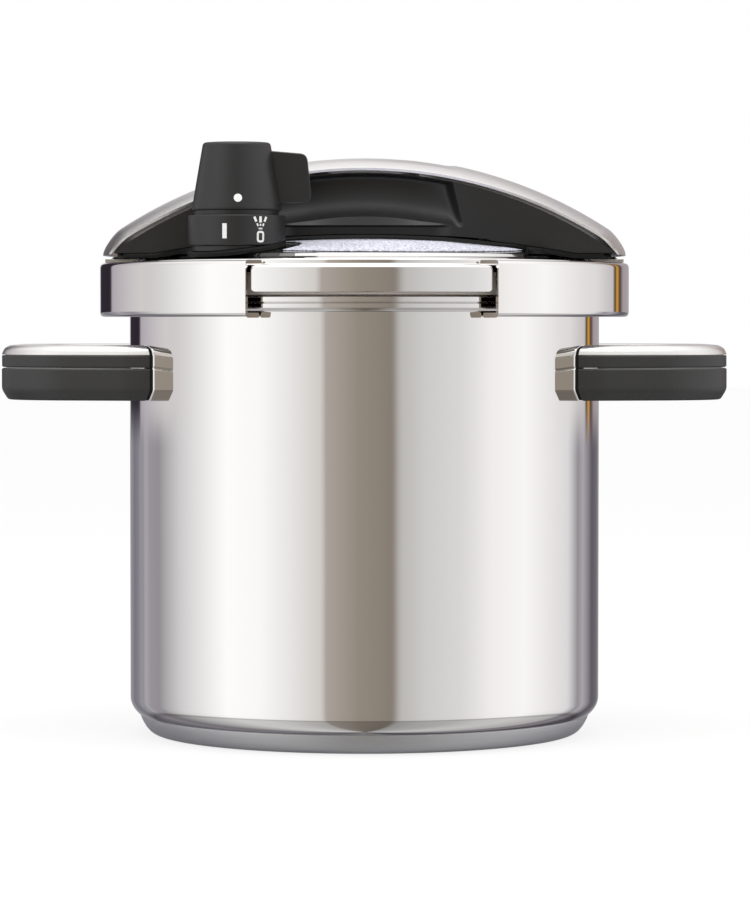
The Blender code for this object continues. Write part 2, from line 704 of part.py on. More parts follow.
def make_bridge_body():
    """The black grip: a hollow arch with finger scoops front and rear, ribs, bosses and arm slots."""
    body = extruded("bridge_body", arch_outline(BODY_DROP, 122 * MM, 215 * MM), -BODY_HALF_WIDTH,
                    BODY_HALF_WIDTH, BLACK_PLASTIC, upright=True)
    ends = cylinder("body_ends", BODY_END_RADIUS, 210 * MM, 280 * MM, steps=ROUND_STEPS, collection=CUTTERS)
    body = cross(body, ends)
    body = cut(body, above_dome("over_plate", PLATE_THICKNESS + 2 * SEAT_GAP, 205 * MM))

    roof = BODY_DROP + BODY_WALL
    channel = extruded("channel", arch_outline(roof, RIB_X[0], 205 * MM), -CHANNEL_HALF_WIDTH,
                       CHANNEL_HALF_WIDTH, upright=True, collection=CUTTERS)
    body = cut(body, channel)
    pocket_half = BODY_HALF_WIDTH - BODY_WALL
    for side in (-1, 1):
        xs = [RIB_X[1] + (POCKET_END_X - RIB_X[1]) * i / 10 for i in range(11)]
        outline = [(side * x, arc_z(x, roof)) for x in xs]
        outline += [(side * POCKET_END_X, 205 * MM), (side * RIB_X[1], 205 * MM)]
        pocket = extruded("pocket", outline, -pocket_half, pocket_half, upright=True, collection=CUTTERS)
        body = cut(body, pocket)
        near, far = sorted((side * (RIB_X[0] - 3 * MM), side * (RIB_X[1] + 3 * MM)))
        window = block("arm_window", (near, -13 * MM, 206 * MM), (far, 13 * MM, 239.6 * MM),
                       collection=CUTTERS)
        body = cut(body, window)
        near, far = sorted((side * 104 * MM, side * 130 * MM))
        slot = block("arm_slot", (near, -13 * MM, 207 * MM), (far, 13 * MM, 229.5 * MM), collection=CUTTERS)
        body = cut(body, slot)

    for end in (-1, 1):
        body = cut(body, make_scoop_cutter(end))
    opening = stadium(BUTTON_HALF_LENGTH + 0.5 * MM, BUTTON_HALF_WIDTH + 0.5 * MM)
    tool = extruded("button_opening", opening, 256 * MM, 285 * MM, collection=CUTTERS)
    body = cut(body, tool)

    for x, y in BRIDGE_SCREWS:
        boss = cylinder("boss", 4.5 * MM, 230.2 * MM, 243 * MM, location=(x, y, 0), steps=16,
                        collection=CUTTERS)
        body = join(body, boss)
        hole = cylinder("boss_hole", 2.3 * MM, 220 * MM, 239.5 * MM, location=(x, y, 0), steps=16,
                        collection=CUTTERS)
        body = cut(body, hole)


def make_scoop_cutter(end):
    """A finger recess: an arched floor, the long arc as its roof, and rounded upright corners."""
    half = SCOOP_HALF_LENGTH
    count = 11
    xs = [half * (2 * i / (count - 1) - 1) for i in range(count)]
    floor = [(x, 243.8 * MM - 5.4 * MM * (x / half) ** 2) for x in xs]
    roof = [(x, arc_z(x, BODY_DROP + 1.6 * MM)) for x in reversed(xs)]
    low, high = sorted((end * SCOOP_BACK_Y, end * 50 * MM))
    scoop = extruded("scoop", floor + roof, low, high, upright=True, collection=CUTTERS)
    bevel = scoop.modifiers.new("Round", "BEVEL")
    bevel.width = 3 * MM
    bevel.segments = 2
    bevel.limit_method = "ANGLE"
    bevel.angle_limit = math.radians(60)
    return as_mesh(scoop)


def make_bridge_screws():
    """Screws from inside the lid up into the bridge's bosses."""
    for x, y in BRIDGE_SCREWS:
        side = "left" if x < 0 else "right"
        end = "front" if y < 0 else "rear"
        under = dome_z(math.hypot(x, y) + 4 * MM) - LID_SHEET - SEAT_GAP
        head = under - 2.4 * MM
        profile = [
            (0, 238.8 * MM), (1.9 * MM, 238.8 * MM), (1.9 * MM, under), (3.8 * MM, under),
            (3.8 * MM, head + 0.6 * MM), (3.2 * MM, head), (0, head),
        ]
        turned(f"bridge_screw_{side}_{end}", profile, SPRING_STEEL, (x, y, 0), steps=12)


# ---- press button, wedge and jaws ------------------------------------------------------------------


def make_button():
    """The press plate in the cap, hollow underneath, and the wedge that it pushes down."""
    outline = stadium(BUTTON_HALF_LENGTH, BUTTON_HALF_WIDTH)
    button = extruded("release_button", outline, BUTTON_BOTTOM, 274 * MM, BRUSHED)
    count = 13
    xs = [40 * MM * (2 * i / (count - 1) - 1) for i in range(count)]
    top = [(x, arc_z(x, 1.2 * MM)) for x in xs]
    above = top + [(40 * MM, 290 * MM), (-40 * MM, 290 * MM)]
    button = cut(button, extruded("button_top", above, -20 * MM, 20 * MM, upright=True, collection=CUTTERS))
    hollow = block("button_hollow", (12 * MM, -7 * MM, 250 * MM), (21 * MM, 7 * MM, 267 * MM),
                   collection=CUTTERS)
    button = cut(button, hollow)
    hollow = block("button_hollow", (-21 * MM, -7 * MM, 250 * MM), (-12 * MM, 7 * MM, 267 * MM),
                   collection=CUTTERS)
    cut(button, hollow)

    high = BUTTON_BOTTOM - SEAT_GAP
    top_half = WEDGE_TIP + WEDGE_SPREAD * (high - WEDGE_BOTTOM)
    section = [(-WEDGE_TIP, WEDGE_BOTTOM), (WEDGE_TIP, WEDGE_BOTTOM), (top_half, high), (-top_half, high)]
    extruded("button_wedge", section, -6 * MM, 6 * MM, BRASS, upright=True)


def jaw_section():
    """The jaw's channel: flange over the ledge, outer wall, and lip under the pot's rim."""
    soft = 1.8 * MM
    thin = JAW_SHEET
    inner = JAW_RADIUS - thin
    outside = [
        (JAW_FLANGE_RADIUS, JAW_TOP),
        (JAW_RADIUS - soft, JAW_TOP),
        (JAW_RADIUS - soft * 0.3, JAW_TOP - soft * 0.3),
        (JAW_RADIUS, JAW_TOP - soft),
        (JAW_RADIUS, JAW_BOTTOM + soft),
        (JAW_RADIUS - soft * 0.3, JAW_BOTTOM + soft * 0.3),
        (JAW_RADIUS - soft, JAW_BOTTOM),
        (JAW_LIP_RADIUS, JAW_BOTTOM),
    ]
    inside = [
        (JAW_LIP_RADIUS, JAW_BOTTOM + thin),
        (inner, JAW_BOTTOM + thin),
        (inner, JAW_TOP - thin),
        (JAW_FLANGE_RADIUS, JAW_TOP - thin),
    ]
    return outside + inside


def make_jaw(side, label):
    start = LID_TURN - JAW_HALF_ANGLE + (0 if side > 0 else math.pi)
    jaw = ring_sector("jaw_" + label, jaw_section(), start, 2 * JAW_HALF_ANGLE, 18, POLISHED)

    half = ARM_THICKNESS / 2
    line = [(1 * MM, ARM_HIGH_Z), (ARM_BEND_X[0], ARM_HIGH_Z), (ARM_BEND_X[1], ARM_LOW_Z), (ARM_END_X, ARM_LOW_Z)]
    outline = [(side * x, z + half) for x, z in line] + [(side * x, z - half) for x, z in reversed(line)]
    arm = extruded("jaw_arm_" + label, outline, -ARM_HALF_WIDTH, ARM_HALF_WIDTH, BRUSHED, upright=True)
    near, far = sorted((side * 32 * MM, side * 34 * MM))
    lug = block("lug", (near, -6 * MM, ARM_HIGH_Z), (far, 6 * MM, 248 * MM), collection=CUTTERS)
    arm = join(arm, lug)

    shoe_floor = ARM_HIGH_Z + half + SEAT_GAP
    face_x = 0.4 * MM
    face_z = WEDGE_BOTTOM + (face_x - WEDGE_TIP - SEAT_GAP) / WEDGE_SPREAD
    top_x = WEDGE_TIP + SEAT_GAP + WEDGE_SPREAD * (SHOE_TOP - WEDGE_BOTTOM)
    shoe = [(face_x, shoe_floor), (face_x, face_z), (top_x, SHOE_TOP), (12 * MM, SHOE_TOP), (12 * MM, shoe_floor)]
    shoe = [(side * x, z) for x, z in shoe]
    extruded("cam_shoe_" + label, shoe, -6 * MM, 6 * MM, SHOE_PLASTIC, upright=True)

    for end, end_name in ((-1, "front"), (1, "rear")):
        place = (side * RIVET_X, end * RIVET_Y, 0)
        low = JAW_TOP - JAW_SHEET
        arm = cut(arm, cylinder("rivet_hole", 2.3 * MM, 215 * MM, 230 * MM, location=place, steps=16,
                                collection=CUTTERS))
        jaw = cut(jaw, cylinder("rivet_hole", 2.3 * MM, 215 * MM, 230 * MM, location=place, steps=16,
                                collection=CUTTERS))
        head = ARM_LOW_Z + half + SEAT_GAP
        profile = [
            (0, head + 0.9 * MM), (2.4 * MM, head + 0.8 * MM), (3.5 * MM, head), (2 * MM, head),
            (2 * MM, low + 0.1 * MM), (0, low + 0.1 * MM),
        ]
        turned(f"jaw_rivet_{label}_{end_name}", profile, SPRING_STEEL, place, steps=12)

    start_x = side * 34.8 * MM
    length = side * (RIB_X[0] - 0.8 * MM - 34.8 * MM)
    coil("jaw_spring_" + label, 3.4 * MM, 1 * MM, start_x, length, 4, SPRING_STEEL, axis="X",
         location=(0, 0, 243.6 * MM))


# ---- selector tower --------------------------------------------------------------------------------


def make_nut(name, corner_radius, bore, low, high, place):
    """A hexagonal nut that clears the thread inside it."""
    nut = cylinder(name, corner_radius, low, high, SPRING_STEEL, place, steps=6)
    return cut(nut, cylinder("nut_bore", bore, 190 * MM, 250 * MM, location=place, collection=CUTTERS))


def make_tower():
    foot = RING_RADIUS - 1.5 * MM
    inner = 20.2 * MM
    ring_profile = [
        (inner, RING_Z[1]), (RING_RADIUS - 0.5 * MM, RING_Z[1]), (RING_RADIUS, RING_Z[1] - 0.5 * MM),
        (RING_RADIUS, RING_Z[0] + 0.5 * MM), (RING_RADIUS - 0.5 * MM, RING_Z[0]), (foot, RING_Z[0]),
        (foot, 220 * MM), (18.6 * MM, 220 * MM), (18.6 * MM, 236.5 * MM), (inner, 237.5 * MM),
    ]
    ring = turned("dial_ring", ring_profile, BLACK_PLASTIC, TOWER, steps=32)
    cut(ring, above_dome("over_plate", PLATE_THICKNESS + 2 * SEAT_GAP, 205 * MM))

    wall_top = 273.6 * MM
    knob_profile = [
        (0, KNOB_TOP), (KNOB_TIP[0] - 1 * MM, KNOB_TOP), KNOB_TIP, KNOB_BASE, (20.4 * MM, 245.4 * MM),
        (19.4 * MM, 245.4 * MM), (19.4 * MM, 238.5 * MM), (17.6 * MM, 238.5 * MM), (17.6 * MM, 246.1 * MM),
        (13.4 * MM, wall_top), (5.5 * MM, wall_top), (5.5 * MM, 261.3 * MM), (0, 261.3 * MM),
    ]
    knob = turned("selector_knob", knob_profile, BLACK_PLASTIC, TOWER, steps=32)
    corner = 2 * MM
    quarter = math.pi / 2
    fin = [(18.6 * MM, 248.6 * MM)]
    fin += arc_points((32.3 * MM, 250.6 * MM), corner, -quarter, 0.12, 4)
    fin += arc_points((30.3 * MM, 269.2 * MM), corner, 0.12, quarter, 4)
    fin += [(15 * MM, 272.6 * MM)]
    blade = extruded("knob_fin", fin, -2.5 * MM, 2.5 * MM, location=TOWER, upright=True, collection=CUTTERS)
    knob = join(knob, blade)

    slope = (KNOB_BASE[0] - KNOB_TIP[0]) / (KNOB_TIP[1] - KNOB_BASE[1])
    face = KNOB_BASE[0] - (POINTER_Z - KNOB_BASE[1]) * slope
    tilt = Matrix.Rotation(quarter - math.atan(slope), 4, "X")
    for name, radius, depth, proud in (("pocket", 2.4, 1.3, 1.0), ("knob_pointer", 2.1, 0.9, 0.1)):
        is_pointer = name == "knob_pointer"
        dot = cylinder(name, radius * MM, -depth * MM, proud * MM, GREY_PLASTIC if is_pointer else None,
                       collection=PARTS if is_pointer else CUTTERS)
        turn = Matrix.Rotation(POINTER_TURN, 4, "Z")
        dot.matrix_world = Matrix.Translation(TOWER) @ turn @ Matrix.Translation((0, -face, POINTER_Z)) @ tilt
        if not is_pointer:
            cut(knob, dot)

    under = dome_z(TOWER.length + 9 * MM) - LID_SHEET - 2 * SEAT_GAP
    tube = [
        (2.5, 243.0), (5.6, 243.0), (6.0, 242.6), (6.0, 231.6), (9.2, 231.6), (9.2, 229.1), (6.0, 229.1),
        (6.0, 214.0), (2.5, 214.0),
    ]
    turned("valve_body", [(r * MM, z * MM) for r, z in tube], BRASS, TOWER, steps=SMALL_STEPS)
    make_nut("valve_nut", 10 * MM, 6.4 * MM, under - 5 * MM, under, TOWER)
    piston = [
        (0, 251.0), (2.2, 251.0), (2.2, 248.4), (4.6, 248.0), (4.6, 243.4), (1.6, 243.4), (0.4, 241.4), (0, 241.4),
    ]
    turned("valve_piston", [(r * MM, z * MM) for r, z in piston], SPRING_STEEL, TOWER, steps=SMALL_STEPS)
    coil("valve_spring", 3.3 * MM, 0.8 * MM, 249.2 * MM, 11.4 * MM, 4, SPRING_STEEL, location=TOWER)


# ---- pressure indicator and safety valve -----------------------------------------------------------


def make_indicator():
    bush = [
        (2.4, 231.6), (5.8, 231.6), (6.3, 231.1), (6.3, 229.8), (4.0, 229.8), (4.0, 225.8), (6.3, 225.8),
        (6.3, 224.2), (5.6, 223.6), (2.4, 223.6),
    ]
    turned("indicator_bush", [(r * MM, z * MM) for r, z in bush], SILICONE, INDICATOR, steps=SMALL_STEPS)
    pin = [
        (0, 233.6), (2.2, 233.6), (3.2, 232.9), (3.2, 231.9), (2.0, 231.9), (2.0, 218.4), (3.8, 218.4),
        (3.8, 216.8), (0, 216.8),
    ]
    turned("indicator_pin", [(r * MM, z * MM) for r, z in pin], SPRING_STEEL, INDICATOR, steps=SMALL_STEPS)


def make_safety_valve():
    body = [
        (2.0, 236.6), (7.2, 236.6), (8.0, 235.8), (8.0, 230.1), (5.0, 230.1), (5.0, 215.0), (2.0, 215.0),
        (2.0, 222.8), (4.0, 225.2), (4.0, 235.2), (2.0, 235.2),
    ]
    turned("safety_valve_body", [(r * MM, z * MM) for r, z in body], BRASS, SAFETY, steps=SMALL_STEPS)
    under = dome_z(SAFETY.length + 8 * MM) - LID_SHEET - 2 * SEAT_GAP
    make_nut("safety_valve_nut", 9 * MM, 5.4 * MM, under - 4.5 * MM, under, SAFETY)
    plunger = [(0, 229.6), (3.6, 229.6), (3.6, 225.6), (1.8, 223.4), (0, 223.4)]
    turned("safety_plunger", [(r * MM, z * MM) for r, z in plunger], SPRING_STEEL, SAFETY, steps=SMALL_STEPS)
    coil("safety_spring", 2.7 * MM, 0.7 * MM, 230.3 * MM, 4.3 * MM, 3, SPRING_STEEL, location=SAFETY)


# ---- putting it together ---------------------------------------------------------------------------

BODIES = {
    "knob": (TOWER, ("selector_knob", "knob_pointer")),
    "valve_piston_body": (TOWER, ("valve_piston",)),
    "indicator": (INDICATOR, ("indicator_pin",)),
    "safety": (SAFETY, ("safety_plunger",)),
    "button": (Vector((0, 0, 0)), ("release_button", "button_wedge")),
    "left_jaw": (Vector((0, 0, 0)), ("jaw_left", "jaw_arm_left", "cam_shoe_left", "jaw_rivet_left_front",
                                     "jaw_rivet_left_rear")),
    "right_jaw": (Vector((0, 0, 0)), ("jaw_right", "jaw_arm_right", "cam_shoe_right",
                                      "jaw_rivet_right_front", "jaw_rivet_right_rear")),
}
POT_PIECES = ("pot_", "base_", "handle_")


def add_empty(name, location, parent=None):
    empty = bpy.data.objects.new(name, None)
    PARTS.objects.link(empty)
    empty.location = location
    empty.parent = parent
    return empty


def hang(child, parent):
    """Parents a piece without moving it."""
    child.parent = parent
    child.matrix_parent_inverse = Matrix.Translation(parent.location).inverted()


def group_bodies():
    """Parents each piece to an empty on its joint's axis: the pot, the lid, and what moves in the lid."""
    pot = add_empty("pot", (0, 0, 0))
    lid = add_empty("lid", (0, 0, 0))
    moving = {}
    for body, (place, names) in BODIES.items():
        empty = add_empty(body, place, lid)
        for name in names:
            moving[name] = empty
    for piece in [obj for obj in PARTS.objects if obj.type == "MESH"]:
        resting = pot if piece.name.startswith(POT_PIECES) else lid
        hang(piece, moving.get(piece.name, resting))


def main():
    make_pot()
    make_base()
    make_handles()
    make_lid_shell()
    make_gasket()
    make_bridge_plate()
    make_label_plate()
    make_bridge_cap()
    make_bridge_body()
    make_bridge_screws()
    make_button()
    for side, label in ((-1, "left"), (1, "right")):
        make_jaw(side, label)
    make_tower()
    make_indicator()
    make_safety_valve()
    group_bodies()


main()
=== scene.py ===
import bpy
import bmesh
import numpy as np
from math import radians, pi, atan2
from mathutils import Matrix, Vector


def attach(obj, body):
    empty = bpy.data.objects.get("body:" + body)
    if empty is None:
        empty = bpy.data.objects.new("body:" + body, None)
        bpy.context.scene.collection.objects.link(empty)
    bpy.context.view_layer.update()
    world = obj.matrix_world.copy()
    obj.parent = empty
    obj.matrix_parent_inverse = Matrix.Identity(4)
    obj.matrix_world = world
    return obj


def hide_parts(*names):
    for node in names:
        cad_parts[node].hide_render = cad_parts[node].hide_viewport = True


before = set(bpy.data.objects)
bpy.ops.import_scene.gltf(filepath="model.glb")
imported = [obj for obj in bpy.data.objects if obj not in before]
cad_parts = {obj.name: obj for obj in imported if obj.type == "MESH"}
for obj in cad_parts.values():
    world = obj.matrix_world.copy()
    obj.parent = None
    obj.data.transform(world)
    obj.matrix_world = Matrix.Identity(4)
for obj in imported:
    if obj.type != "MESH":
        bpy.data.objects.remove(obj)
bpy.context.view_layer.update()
mm = 0.001
print("cooker: frame loaded,", len(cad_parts), "nodes")

view = {"x": 0.0050, "y": -1.826, "z": 0.1966, "tilt": 1.98, "lens": 154, "sensor": 36}
cameraData = bpy.data.cameras.new("camera")
cameraData.lens = view["lens"]
cameraData.sensor_width = view["sensor"]
camera = bpy.data.objects.new("camera", cameraData)
camera.location = (view["x"], view["y"], view["z"])
camera.rotation_euler = (radians(90 - view["tilt"]), 0, 0)
bpy.context.collection.objects.link(camera)
bpy.context.scene.camera = camera
bpy.context.scene.view_settings.view_transform = "Standard"


def addNode(tree, kind, inputs=(), **values):
    # inputs gives each socket either its constant or the output that feeds it
    node = tree.nodes.new(kind)
    for key, value in values.items():
        setattr(node, key, value)
    for key, value in dict(inputs).items():
        if isinstance(value, bpy.types.NodeSocket):
            tree.links.new(value, node.inputs[key])
        else:
            node.inputs[key].default_value = value
    return node


def addMath(tree, operation, *terms):
    return addNode(tree, "ShaderNodeMath", dict(enumerate(terms)), operation=operation).outputs[0]


def addVector(tree, operation, first, second):
    # a vector or colour multiplied by another, or scaled by a number
    other = "Scale" if operation == "SCALE" else 1
    return addNode(tree, "ShaderNodeVectorMath", {0: first, other: second}, operation=operation).outputs[0]


def addRange(tree, value, low, high, kind="SMOOTHSTEP"):
    # from nought at the low value to one at the high value
    return addNode(tree, "ShaderNodeMapRange", {"Value": value, "From Min": low, "From Max": high},
                   interpolation_type=kind).outputs[0]


def addNoise(tree, coord, scale, detail, distortion=0):
    return addNode(tree, "ShaderNodeTexNoise", {"Vector": coord, "Scale": scale, "Detail": detail,
                                                "Distortion": distortion}).outputs[0]


def addBlend(tree, factor, first, second):
    return addNode(tree, "ShaderNodeMix", {"Factor": factor, "A": first, "B": second},
                   data_type="RGBA").outputs["Result"]


def addRamp(tree, source, stops):
    # colours change evenly from stop to stop; a fourth number in a colour is how much it covers
    node = addNode(tree, "ShaderNodeValToRGB", {0: source})
    node.color_ramp.interpolation = "LINEAR"
    elements = node.color_ramp.elements
    while len(elements) > 1:
        elements.remove(elements[-1])
    for i, (place, colour) in enumerate(stops):
        element = elements[0] if i == 0 else elements.new(place)
        element.position = place
        element.color = (*colour, 1) if len(colour) == 3 else colour
    return node


# the studio goes round the cooker as bright and dark bands: (bearing in degrees, display red, green, blue)
studio = {
    "bands": [
        (-180, 160, 158, 163), (-159, 128, 127, 133), (-154, 114, 113, 121), (-147, 126, 124, 133),
        (-142, 144, 142, 150), (-138.5, 142, 139, 147), (-135.5, 163, 160, 168), (-132.5, 161, 157, 165),
        (-130, 151, 146, 154), (-119.5, 145, 142, 148), (-114, 166, 165, 168), (-101, 203, 203, 205),
        (-88, 226, 226, 227), (-70, 254, 254, 254), (-52, 250, 250, 250), (-36, 231, 231, 231),
        (-20.5, 206, 203, 200), (-18.5, 170, 163, 157), (-3, 146, 138, 128), (13.5, 133, 125, 117),
        (17.5, 186, 185, 183), (30, 204, 204, 204), (48, 216, 216, 216), (64, 239, 238, 238),
        (84, 248, 248, 248),
        (104, 229, 228, 229), (117.8, 216, 215, 218), (128.4, 143, 141, 147), (134.5, 167, 163, 170),
        (148.5, 91, 87, 96), (160, 102, 100, 107), (172, 150, 149, 152),
    ],
    # the share of light that the steel gives back, the world's strength, and the pale box overhead
    "return": 0.80, "strength": 1.0, "overhead": 1.25, "overheadRise": (0.35, 0.85),
    # narrow bands seen only at and above the rim's level: bearing, display colour, how much they cover
    "narrow": [
        (-180, 190, 186, 188, 1), (-169, 190, 186, 188, 1), (-166.5, 46, 40, 48, 1), (-146, 42, 36, 44, 1),
        (-143, 62, 54, 64, 1), (-141.5, 168, 163, 170, 1), (-133, 180, 175, 181, 1), (-124, 192, 188, 192, 1),
        (-112, 206, 202, 204, 1), (-102, 212, 208, 210, 0.6), (-92, 220, 217, 218, 0),
        (105, 226, 224, 224, 0),
        (112, 222, 221, 221, 0.7), (119, 219, 218, 218, 1), (128, 203, 201, 202, 1), (137, 190, 186, 190, 1),
        (138.5, 84, 62, 44, 1), (140, 84, 62, 40, 1), (142, 196, 150, 66, 1), (144, 176, 126, 48, 1),
        (145.5, 66, 50, 44, 1), (148, 96, 82, 84, 1), (152, 154, 145, 148, 1), (172, 160, 154, 157, 1),
    ],
    "rise": (-0.035, -0.02),
    # what is left of the bands below the horizon: (height of the direction, share)
    "ground": [(-1.0, 0.55), (-0.50, 0.60), (-0.42, 0.42), (-0.34, 0.96), (-0.108, 1.0)],
}


def toLinear(display):
    # the usual display curve undone: ((v + 0.055) / 1.055) ^ 2.4 above the toe
    v = np.asarray(display, float) / 255
    return np.where(v <= 0.04045, v / 12.92, ((v + 0.055) / 1.055) ** 2.4)


def bandStops(rows):
    # a bearing becomes a place on the ramp, and a display colour the light that gives it back from steel
    return [((row[0] + 180) / 360, (*(toLinear(row[1:4]) / studio["return"]), *row[4:])) for row in rows]


def makeStudio():
    world = bpy.data.worlds.new("studio")
    bpy.context.scene.world = world
    world.use_nodes = True
    tree = world.node_tree
    tree.nodes.clear()
    coord = addNode(tree, "ShaderNodeTexCoord")
    way = addNode(tree, "ShaderNodeSeparateXYZ", {0: coord.outputs["Generated"]})
    bearing = addMath(tree, "ARCTAN2", way.outputs["X"], addMath(tree, "MULTIPLY", way.outputs["Y"], -1))
    turn = addRange(tree, bearing, -pi, pi, "LINEAR")
    wide = addRamp(tree, turn, bandStops(studio["bands"]))
    narrow = addRamp(tree, turn, bandStops(studio["narrow"]))
    up = way.outputs["Z"]
    cover = addMath(tree, "MULTIPLY", narrow.outputs["Alpha"], addRange(tree, up, *studio["rise"]))
    banded = addBlend(tree, cover, wide.outputs[0], narrow.outputs["Color"])
    # below the horizon the bands go on, dimmed by the table they stand on
    depth = addRange(tree, up, -1, 0, "LINEAR")
    ground = addRamp(tree, depth, [(z + 1, (v,) * 3) for z, v in studio["ground"]])
    dimmed = addVector(tree, "MULTIPLY", banded, ground.outputs[0])
    # overhead is one broad pale box that fades in with height
    pale = (studio["overhead"],) * 3 + (1,)
    top = addBlend(tree, addRange(tree, up, *studio["overheadRise"]), dimmed, pale)
    path = addNode(tree, "ShaderNodeLightPath")
    plain = addBlend(tree, path.outputs["Is Camera Ray"], top, (1, 1, 1, 1))
    glow = addNode(tree, "ShaderNodeBackground", {"Color": plain, "Strength": studio["strength"]})
    addNode(tree, "ShaderNodeOutputWorld", {"Surface": glow.outputs[0]})


floorValues = {"radius": 9, "steps": 96, "tone": 0.86, "roughness": 0.85, "specular": 0.2, "ownLight": 0.8,
               "height": -0.0004}


def makeFloor():
    f = floorValues
    bm = bmesh.new()
    bmesh.ops.create_circle(bm, cap_ends=True, segments=f["steps"], radius=f["radius"])
    mesh = bpy.data.meshes.new("floor")
    bm.to_mesh(mesh)
    bm.free()
    floor = bpy.data.objects.new("floor", mesh)
    bpy.context.collection.objects.link(floor)
    mat = bpy.data.materials.new("paleFloor")
    mat.use_nodes = True
    tree = mat.node_tree
    shader = tree.nodes["Principled BSDF"]
    shader.inputs["Base Color"].default_value = (f["tone"],) * 3 + (1,)
    shader.inputs["Roughness"].default_value = f["roughness"]
    shader.inputs["Specular IOR Level"].default_value = f["specular"]
    glow = addNode(tree, "ShaderNodeEmission", {"Color": (1, 1, 1, 1)})
    path = addNode(tree, "ShaderNodeLightPath")
    share = addMath(tree, "MULTIPLY", path.outputs["Is Camera Ray"], f["ownLight"])
    mix = addNode(tree, "ShaderNodeMixShader", {0: share, 1: shader.outputs[0], 2: glow.outputs[0]})
    tree.links.new(mix.outputs[0], tree.nodes["Material Output"].inputs["Surface"])
    mesh.materials.append(mat)
    floor.location = (0, 0, f["height"])
    floor.visible_glossy = False


def makeLights():
    lamps = {
        "topBox": {"at": (0, -0.2, 1.5), "size": (1.2, 1.2), "power": 9, "aim": (0, 0, 0.1)},
        "leftBox": {"at": (-1.3, -0.9, 0.75), "size": (0.7, 1.0), "power": 5, "aim": (0, 0, 0.18)},
        "rightBox": {"at": (1.3, -0.9, 0.75), "size": (0.7, 1.0), "power": 5, "aim": (0, 0, 0.18)},
    }
    for name, lamp in lamps.items():
        data = bpy.data.lights.new(name, "AREA")
        data.shape = "RECTANGLE"
        data.size, data.size_y = lamp["size"]
        data.energy = lamp["power"]
        obj = bpy.data.objects.new(name, data)
        obj.location = lamp["at"]
        away = Vector(lamp["at"]) - Vector(lamp["aim"])
        obj.rotation_euler = away.to_track_quat("Z", "Y").to_euler()
        obj.visible_glossy = name == "topBox"
        bpy.context.collection.objects.link(obj)


makeStudio()
makeFloor()
makeLights()
print("cooker: studio ready")


def newGroup(name, inputs, outputs):
    # how many numbers an input's first value has tells its kind; the outputs are single numbers and a colour
    kinds = {1: "NodeSocketFloat", 3: "NodeSocketVector", 4: "NodeSocketColor"}
    tree = bpy.data.node_groups.new(name, "ShaderNodeTree")
    for label, value in inputs.items():
        socket = tree.interface.new_socket(name=label, in_out="INPUT", socket_type=kinds[np.size(value)])
        socket.default_value = value
    for label in outputs:
        kind = kinds[4 if label == "Color" else 1]
        tree.interface.new_socket(name=label, in_out="OUTPUT", socket_type=kind)
    return tree, addNode(tree, "NodeGroupInput").outputs, addNode(tree, "NodeGroupOutput")


def giveOut(tree, out, **sources):
    for label, source in sources.items():
        tree.links.new(source, out.inputs[label])


def makeBrushGroup():
    # hairlines: noise stretched along the brushing, read on the piece's own coordinates
    tree, given, out = newGroup(
        "hairlines", {"Across": (8, 900, 900), "Tone": (0.7, 0.7, 0.7, 1), "Contrast": 0.12, "Roughness": 0.3,
                      "Spread": 0.12}, ("Color", "Roughness", "Height"))
    coord = addNode(tree, "ShaderNodeTexCoord").outputs["Object"]
    fine = addNoise(tree, addVector(tree, "MULTIPLY", coord, given["Across"]), 1.6, 5)
    broad = addNoise(tree, coord, 22, 3)
    centre = addMath(tree, "SUBTRACT", fine, 0.5)
    swing = addMath(tree, "MULTIPLY_ADD", centre, given["Contrast"], 1)
    both = addMath(tree, "ADD", centre, addMath(tree, "MULTIPLY_ADD", broad, 0.6, -0.3))
    rough = addMath(tree, "MULTIPLY_ADD", both, given["Spread"], given["Roughness"])
    giveOut(tree, out, Color=addVector(tree, "SCALE", given["Tone"], swing), Roughness=rough, Height=fine)
    return tree


def makeHandlingGroup():
    # handling: faint cloudy wipe marks as a roughness, and slow waves in the sheet as a height
    tree, given, out = newGroup("handling", {"Roughness": 0.05, "Smears": 0.04, "Scale": 14},
                                ("Roughness", "Mask", "Height"))
    coord = addNode(tree, "ShaderNodeTexCoord").outputs["Object"]
    shape = addRange(tree, addNoise(tree, coord, given["Scale"], 4, 0.6), 0.42, 0.75)
    rough = addMath(tree, "MULTIPLY_ADD", shape, given["Smears"], given["Roughness"])
    giveOut(tree, out, Mask=shape, Roughness=rough, Height=addNoise(tree, coord, 9, 1))
    return tree


def makeGrainGroup():
    # mould grain: a fine pebble from one noise, with a slow drift in tone from another
    tree, given, out = newGroup(
        "mouldGrain", {"Tone": (0.03, 0.03, 0.03, 1), "Lift": 0.25, "Roughness": 0.45, "Scale": 1500},
        ("Color", "Roughness", "Height"))
    coord = addNode(tree, "ShaderNodeTexCoord").outputs["Object"]
    drift = addMath(tree, "SUBTRACT", addNoise(tree, coord, 30, 4), 0.5)
    lift = addMath(tree, "MULTIPLY_ADD", drift, given["Lift"], 1)
    rough = addMath(tree, "MULTIPLY_ADD", drift, 0.16, given["Roughness"])
    giveOut(tree, out, Color=addVector(tree, "SCALE", given["Tone"], lift), Roughness=rough,
            Height=addNoise(tree, coord, given["Scale"], 3))
    return tree


hairlines = makeBrushGroup()
handling = makeHandlingGroup()
mouldGrain = makeGrainGroup()


def newFinish(name, colour, metallic, roughness):
    mat = bpy.data.materials.new(name)
    mat.use_nodes = True
    shader = mat.node_tree.nodes["Principled BSDF"]
    shader.inputs["Base Color"].default_value = (*colour, 1)
    shader.inputs["Metallic"].default_value = metallic
    shader.inputs["Roughness"].default_value = roughness
    return mat, mat.node_tree, shader


